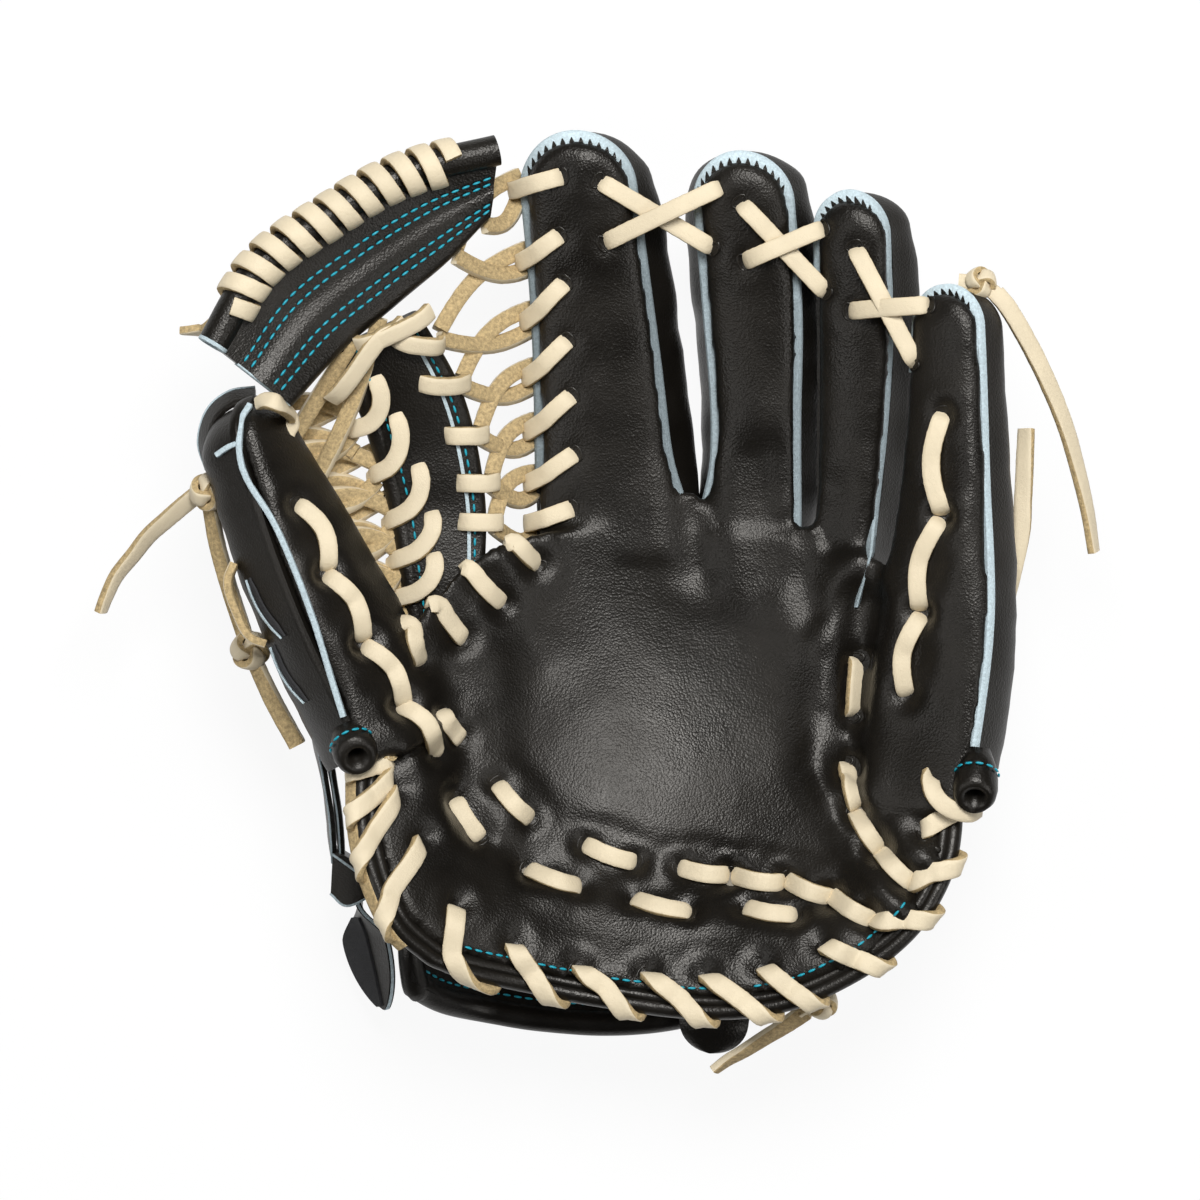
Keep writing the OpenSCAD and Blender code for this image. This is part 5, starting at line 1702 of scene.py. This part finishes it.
    def post_laces(self):
        build = Build()
        for ends in POST_TURNS:
            points, ups = self.over_post(ends, POST_TURN_STEPS)
            x, y = ends[1]
            edge = POST.above(x + 1.6, y, 0.0)[0]
            lace(build, points + [edge, edge + (-1.5, 0, -3.6)], ups + [(1, 0, 0.2), (1, 0, -0.6)])
        for ends in POST_ARCS:
            points, ups = self.over_post(ends, POST_ARC_STEPS)
            leans = [np.array((-1.2, 0.4, 0)) * max(0, t - 0.4) for t, _, _ in POST_ARC_STEPS]
            lace(build, points, np.add(ups, leans), taper=0.35)
        for ends in FLAP_LACES:
            lace(build, *self.over_post(ends, FLAP_LACE_STEPS))
        build.piece("web_post_turns", "lace", "palm")

    def strand(self, build, a, b, sag, bend=(0, 0, 0), twist=0.0):
        """A flesh-side strand of lace between two places."""
        t = np.linspace(0, 1, 7)[:, None]
        hang = np.sin(math.pi * t) * (np.array(bend) - (0, 0, sag))
        lace(build, lerp(a, b, t) + hang, (0.1, 0.2, 1), width=4.8, thick=3.2, twist=twist, flip=True)

    def index_net(self):
        f = FINGERS["index"]
        near = [flap_at(0.98, 1.0, 0)[0], flap_at(0.8, 1.0, 0)[0], POST.above(-50.4, 77, 0)[0]]
        near += [POST.above(*end, 0.0)[0] for _, end in POST_TURNS]
        edge, net = Build(), Build()
        far = []
        for hole, end in INDEX_EDGE_WRAPS:
            s = np.clip((end[1] - 21) / f.length, 0.0, 1)
            across, out = f.axes(s)
            w = f.half_width(s)
            rim = (f.centre(s) - across * w[:, None])[0]
            left, front = -across[0], out[0]
            points, ups = over_skin(hole, lerp(hole, rim[:2], 0.8), self.edge_turn)
            tail = [rim + left * a + front * b for a, b in ((1.6, 1.2), (2.2, -3), (-0.5, -6.5))]
            lace(edge, np.vstack([points, tail]), np.vstack([ups, [left + front, left, left - front]]))
            far.append(rim + left * 0.5 - front * 3.5)
        for i, spot in enumerate(far):
            lift = np.array((0, 2.2, 0))
            self.strand(net, near[i] - lift * 0.6, spot - lift * 1.6, 1.5, (1, -3.2, 0), 20)
            if i + 1 < len(near):
                self.strand(net, near[i + 1] + lift * 0.6, spot + lift * 1.4, -0.8, (-2.0, 3.4, 0), -20)
        edge.piece("index_edge_turns", "lace", "palm", "index_edge_lace")
        net.piece("index_net_strands", "lace", "palm", "index_web_lace")

    def thumb_net(self):
        rim = floats(self.thumb_rim)

        def at_rim(y):
            return np.array((np.interp(y, rim[::-1, 1], rim[::-1, 0]) - 5.0, y, 56.0))

        ends = [POST.above(x + 1.5, y, -1.5)[0] for _, (x, y) in POST_ARCS]
        build = Build()
        for end in ends:
            for shift, past, sag, bend, twist in self.thumb_strands:
                self.strand(build, end + shift, at_rim(end[1] + past), sag, bend, twist)
        self.strand(build, flap_at(0.3, 1.0, 0)[0], at_rim(42), 1.0, (0, 0, 0), 30)
        self.strand(build, flap_at(0.42, 1.0, 0)[0], at_rim(30), 1.0, (2, 0, 0), -30)
        build.piece("thumb_net_strands", "lace", "net", "thumb_web_lace")


BAND_EDGE = ((-58, -115), (-46, -121.5), (-20, -126.5), (6, -127.5), (30, -123.5), (58, -113), (84, -98))
KEEPER = np.array((-77.0, -88.0, 22.0))
STRAP_ROUTE = ((-86.5, -46, 46), (-85, -54, 43), (-83.6, -63, 37.5), (-83, -72, 31), (-82.9, -77.2, 26))
STRAP_WIDTH = 14
BAND_STRAP_ROUTE = ((-59.4, -97, 27), (-62, -96, 26), (-66, -93.5, 24.5), (-69.3, -91.8, 23))
TAB_HEADING, TAB_LENGTH, TAB_WIDTH = -80, 34, 24


def back_z(x, y):
    """Height of the ground side of the back."""
    return (0.03 * np.maximum(0, -30 - x) ** 2 + 0.023 * np.maximum(0, x - 52) ** 2
            + 0.0055 * np.maximum(0, -88 - y) ** 2)


class GLOVE_OT_wrist(GloveOperator, bpy.types.Operator):
    """Makes the wrist band with its padded roll and tongue, and the strap with its keeper and tab"""

    bl_idname = "glove.wrist"
    bl_label = "Wrist"

    # The roll: the places and radii of its end at the thumb, and its radius along the band
    roll_end = ((-59, -90, 30), (-59.6, -100, 30.5), (-60, -109, 31))
    roll_end_radii, roll_radius = (3.0, 3.4, 3.8), 4.2
    # The keeper: radius and half width of its loop, the point where it is sewn, and the corners of its face
    keeper_radius, keeper_half, keeper_point = 6.0, 12, (-6.2, 10.4)
    keeper_corners = ((-83.4, -79.5, 34), (-84, -91.5, 34), (-78.6, -95, 35), (-68.5, -90, 36))
    # The tab: its lean in degrees, half its thickness, and the heights of its hook pad's faces
    tab_lean, tab_half, hook_faces = -33, 0.9, (-0.9, -1.7)

    def make(self):
        self.band()
        self.roll()
        self.tongue()
        self.straps()
        self.keeper()
        self.tab()

    def band(self):
        """The band of leather across the wrist, reaching under its roll."""
        u, v = np.linspace(0, 1, 70), np.linspace(0, 1, 26)
        low = curve(BAND_EDGE, u) + beside(heading(BAND_EDGE, u)) * 3.4
        high = np.column_stack([lerp(-58, 84, u), np.full(len(u), -84)])
        flat = np.stack([lerp(high, low, k) for k in v], axis=1)
        z = back_z(flat[..., 0], flat[..., 1])
        top = np.concatenate([flat, z[..., None] + 3.2], axis=-1)
        bumps = waves(top, 18, 13)[..., None] * (0, 0, 0.6)
        build = Build()
        build.slab(top + bumps, np.concatenate([flat, z[..., None]], axis=-1))
        build.piece("wrist_band_leather", "back", "palm", "wrist_band", sharp=60)

    def roll(self):
        build = Build()
        u = np.linspace(0, 1, 40)
        edge = curve(BAND_EDGE, u)
        xy = edge + beside(heading(BAND_EDGE, u)) * self.roll_radius
        path = np.column_stack([xy, back_z(edge[:, 0], edge[:, 1]) + 1.6])
        path = np.vstack([self.roll_end, path[1:]])
        radius = np.full(len(path), self.roll_radius)
        radius[:len(self.roll_end_radii)] = self.roll_end_radii
        tube(build, path, radius * (1 + 0.06 * waves(path, 17, 14)), 20, 0.9)
        obj = build.piece("wrist_roll_padding", "edge", "palm", "wrist_roll")

    def tongue(self):
        t = to_round_end(0, 0.72, 16, 12)
        half = lerp(8.6, 10.6, smooth_step(0, 0.5, t)) * rounded(t, 0.72, 0.004)
        y = -106 - 35 * t
        x = 36 - 5 * t
        z = back_z(x, np.maximum(y, -128)) + 4.9 + curve((0.4, 0.5, 3.4, 5.2, 2), t)[:, 0]
        v = np.linspace(-1, 1, 15)
        spine = np.stack([x, y, z], axis=1)[:, None]
        flat = spine + (half[:, None] * v[None, :])[..., None] * np.array((0.99, -0.15, 0))
        crown = (1.7 * (1 - np.abs(v) ** 4))[None, :, None] * np.array((0, 0, 1.0))
        build = Build()
        build.slab(flat + crown, flat - crown * 0.8)
        build.piece("wrist_tongue_leather", "leather", "palm", "wrist_tongue", sharp=70)

    def straps(self):
        """Two layers of strap down the thumb's side and the short strap of the band, with pale cut edges."""
        build, edges = Build(), Build()
        for route, shift, face in ((STRAP_ROUTE, 1.1, (-1, 0, 0.2)), (STRAP_ROUTE, -1.5, (-1, 0, 0.2)),
                                   (BAND_STRAP_ROUTE, 0, (-0.4, -1, 0))):
            path = spaced(floats(route), 2) + unit(face) * shift
            lace(build, path, face, width=STRAP_WIDTH, thick=1.8)
            side = unit(np.cross(ways(path), face))
            top = side * np.sign(side[:, 2:3]) * (STRAP_WIDTH / 2)
            lace(edges, path + top + unit(face) * 0.8, face, width=0.8, thick=0.5)
        build.piece("wrist_strap_leather", "back", "palm", "wrist_strap")
        edges.piece("wrist_strap_edges", "welt", "palm")

    def keeper(self):
        """A loop of leather folded round the strap's pin, drawn to a point where it is sewn."""
        a = np.radians(np.linspace(-200, 80, 40))
        loop = np.stack([np.cos(a), np.sin(a)], axis=1) * self.keeper_radius
        outline = np.vstack([self.keeper_point, loop])
        middle = outline.mean(axis=0)
        hollow = middle + (outline - middle) * 0.62
        half = self.keeper_half
        rows = ((outline, -half), (outline, -11.4), (outline, 11.2), (outline * 0.97, half),
                (hollow, half), (hollow, -half))
        build = Build()
        rings = [KEEPER + np.column_stack([line, np.full(len(line), high)]) for line, high in rows]
        build.rings(np.array(rings), closed=True)
        t = np.linspace(0, 1, 16)
        corners = floats(self.keeper_corners)
        upper = lerp(corners[0], corners[3], t[:, None])
        lower = curve(corners[1:], t)
        face = np.stack([lerp(upper, lower, k) for k in np.linspace(0, 1, 9)], axis=1)
        face = face + np.sin(math.pi * t)[:, None, None] * (0, 0, 1.2)
        build.slab(face + (0, 0, 1.6), face)
        build.piece("strap_keeper_loop", "back", "palm", "strap_keeper", sharp=40)
        build = Build()
        for edge in (face[:, 0], face[:, -1]):
            lace(build, edge + (0, 0, 1.3), (0, 0, 1), width=0.7, thick=1.0)
        build.piece("strap_keeper_edges", "welt", "palm")

    def tab(self):
        """The tab that peels off the keeper, with its hook pad and pale cut edges."""
        turn = math.radians(TAB_HEADING)
        way = np.array((math.cos(turn), math.sin(turn), 0))
        side = np.array((-way[1], way[0], 0))
        t = to_round_end(0, 0.4, 12, 24)
        end = np.where(t < 0.4, lerp(0.74, 1, smooth_step(0, 0.4, t)),
                       np.clip(1 - ((t - 0.4) / 0.6) ** 2, 0.002, 1) ** 0.8)
        lean = np.radians(self.tab_lean) * smooth_step(0.0, 0.35, t)
        v = np.linspace(-1, 1, 17)

        def grid(lift, width=TAB_WIDTH, keep=slice(None)):
            along, bent = 6.3 + TAB_LENGTH * t[keep], lift + 2.5 * t[keep] ** 2
            spine = KEEPER + np.outer(along, way) + np.outer(bent, side)
            half = (width / 2 * end[keep])[:, None] * v[None, :]
            rise = half * np.cos(lean[keep])[:, None]
            drift = -half * np.sin(lean[keep])[:, None]
            return spine[:, None] + rise[..., None] * np.array((0, 0, 1)) + drift[..., None] * side

        build = Build()
        build.slab(grid(self.tab_half), grid(-self.tab_half))
        build.piece("strap_tab_leather", "back", "strap", "strap_tab", sharp=50)
        build = Build()
        rim = np.concatenate([grid(0)[:, 0], grid(0)[::-1, -1]])
        lace(build, rim, side, width=0.6, thick=0.9)
        build.piece("strap_tab_edges", "welt", "strap")
        keep = (t > 0.12) & (t < 0.97)
        build = Build()
        build.slab(*[grid(lift, TAB_WIDTH - 1, keep)[:, :11] for lift in self.hook_faces])
        build.piece("strap_hook_pile", "hook", "strap", "strap_hook_pad", sharp=50)


class GLOVE_OT_inside(GloveOperator, bpy.types.Operator):
    """Makes the felt pads and the lining, and finishes the plastic stiffeners"""

    bl_idname = "glove.inside"
    bl_label = "Inside"

    def make(self):
        for name, body in (("palm_felt", "palm"), ("heel_felt", "palm"), ("thumb_pad_felt", "thumb")):
            obj = dress(name + "_wool", copied(name, 0.0022, 3, 0.4), "felt", body, name)
        mesh = copied("palm_lining", 0.0012, 3, 0.3)
        dress("palm_lining_leather", mesh, "lining", "palm", "palm_lining")
        for name in ("pinky_stiffener", "thumb_stiffener"):
            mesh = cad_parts[name].data
            mesh.materials.clear()
            mesh.materials.append(finish("plastic"))


class GLOVE_OT_thread(GloveOperator, bpy.types.Operator):
    """Makes the rows of thread stitches along the seams"""

    bl_idname = "glove.thread"
    bl_label = "Thread"

    # Rows of stitches: from where to where along the heel, and how far down the flap
    heel_rows = ((0.27, 0.6), (0.62, 0.8))
    flap_rows = (0.34, 0.43, 0.7, 0.79)

    def make(self):
        fold, palm, bar = [], [], []
        for first, last in self.heel_rows:
            rim = HEEL.place(np.linspace(first, last, 80), -2.4, 0)
            fold.append(np.array([SKIN[0].at(x, y, 0.25)[0] for x, y, _ in rim]))
        for v in self.flap_rows:
            bar.append(flap_at(np.linspace(0.03, 0.97, 120), v, flap_half(v) + 0.4))
        u = np.linspace(0.02, 0.98, 80)
        palm += [POST.at(u, 0.75, 2.5), POST.at(u, -0.58, 2.8)]
        edge = curve(BAND_EDGE, np.linspace(0.02, 0.62, 80))
        palm.append(np.column_stack([edge + (0, 1.4), back_z(edge[:, 0], edge[:, 1] + 1.4) + 3.7]))
        palm.append(ARCS["palm"])
        tree = self.stitch_tree()
        for name, body, lines in (("thread_on_thumb", "thumb", [ARCS["thumb"]]),
                                  ("thread_on_heel", "fold", fold),
                                  ("thread_on_web_and_wrist", "palm", palm),
                                  ("thread_on_bar", "bar", bar)):
            done(self.rows(name, lines, tree), "leather", body)

    def stitch_tree(self):
        """A node tree that lays stitches end to end along curves."""
        tree = bpy.data.node_groups.new("stitch_rows", "GeometryNodeTree")
        sockets = tree.interface
        sockets.new_socket("Rows", in_out="INPUT", socket_type="NodeSocketGeometry")
        for name in ("Pitch", "Length", "Width"):
            sockets.new_socket(name, in_out="INPUT", socket_type="NodeSocketFloat")
        sockets.new_socket("Thread", in_out="INPUT", socket_type="NodeSocketMaterial")
        sockets.new_socket("Stitches", in_out="OUTPUT", socket_type="NodeSocketGeometry")

        def node(kind, links, **settings):
            made = tree.nodes.new(kind)
            for key, value in settings.items():
                setattr(made, key, value)
            for key, value in links.items():
                if isinstance(value, bpy.types.NodeSocket):
                    tree.links.new(value, made.inputs[key])
                else:
                    made.inputs[key].default_value = value
            return made.outputs

        rows = tree.nodes.new("NodeGroupInput").outputs
        marks = node("GeometryNodeCurveToPoints", {"Curve": rows["Rows"], "Length": rows["Pitch"]},
                     mode="LENGTH")
        bead = node("GeometryNodeMeshUVSphere", {"Segments": 8, "Rings": 6, "Radius": 0.5})
        size = node("ShaderNodeCombineXYZ", {"X": rows["Width"], "Y": rows["Width"], "Z": rows["Length"]})
        laid = node("GeometryNodeInstanceOnPoints",
                    {"Points": marks["Points"], "Instance": bead["Mesh"], "Rotation": marks["Rotation"],
                     "Scale": size["Vector"]})
        real = node("GeometryNodeRealizeInstances", {"Geometry": laid["Instances"]})
        smooth = node("GeometryNodeSetShadeSmooth", {"Geometry": real["Geometry"]})
        dyed = node("GeometryNodeSetMaterial", {"Geometry": smooth["Geometry"], "Material": rows["Thread"]})
        out = tree.nodes.new("NodeGroupOutput")
        tree.links.new(dyed["Geometry"], out.inputs["Stitches"])
        return tree

    def rows(self, name, lines, tree):
        """A plain mesh of the stitches along lines of points."""
        path = bpy.data.curves.new(name + "_rows", "CURVE")
        path.dimensions = "3D"
        for line in lines:
            spline = path.splines.new("POLY")
            spline.points.add(len(line) - 1)
            spline.points.foreach_set("co", np.column_stack([line * MM, np.ones(len(line))]).reshape(-1))
        obj = bpy.data.objects.new(name + "_rows", path)
        bpy.context.scene.collection.objects.link(obj)
        step = obj.modifiers.new("stitches", "NODES")
        step.node_group = tree
        values = {"Pitch": sizes().stitch_pitch, "Length": sizes().stitch_length,
                  "Width": sizes().thread_width, "Thread": finish("thread")}
        for item in tree.interface.items_tree:
            if item.in_out == "INPUT" and item.name in values:
                step[item.identifier] = values[item.name]
        mesh = bpy.data.meshes.new_from_object(obj.evaluated_get(bpy.context.evaluated_depsgraph_get()))
        obj.modifiers.remove(step)
        bpy.data.objects.remove(obj)
        return place(name, mesh, None if mesh.materials else finish("thread"))


OPERATORS = (
    GLOVE_OT_finishes, GLOVE_OT_stage, GLOVE_OT_lace_ends, GLOVE_OT_front, GLOVE_OT_backs, GLOVE_OT_welts,
    GLOVE_OT_edges, GLOVE_OT_front_laces, GLOVE_OT_knots, GLOVE_OT_web, GLOVE_OT_wrist, GLOVE_OT_inside,
    GLOVE_OT_thread)


class GLOVE_PT_panel(bpy.types.Panel):
    """The glove's steps and sizes in the sidebar"""

    bl_idname = "GLOVE_PT_panel"
    bl_label = "Fielder's glove"
    bl_space_type = "VIEW_3D"
    bl_region_type = "UI"
    bl_category = "Glove"

    def draw(self, context):
        for group in (context.scene.glove_sizes, context.scene.glove_colours):
            for key in group.__annotations__:
                self.layout.prop(group, key)
        for step in OPERATORS:
            self.layout.operator(step.bl_idname)


CLASSES = (GloveSizes, GloveColours) + OPERATORS + (GLOVE_PT_panel,)


def register():
    for c in CLASSES:
        bpy.utils.register_class(c)
    bpy.types.Scene.glove_sizes = PointerProperty(type=GloveSizes)
    bpy.types.Scene.glove_colours = PointerProperty(type=GloveColours)


def unregister():
    del bpy.types.Scene.glove_colours
    del bpy.types.Scene.glove_sizes
    for c in reversed(CLASSES):
        bpy.utils.unregister_class(c)


def main():
    register()
    for step in OPERATORS:
        group, name = step.bl_idname.split(".")
        getattr(getattr(bpy.ops, group), name)()


if __name__ == "__main__":
    main()
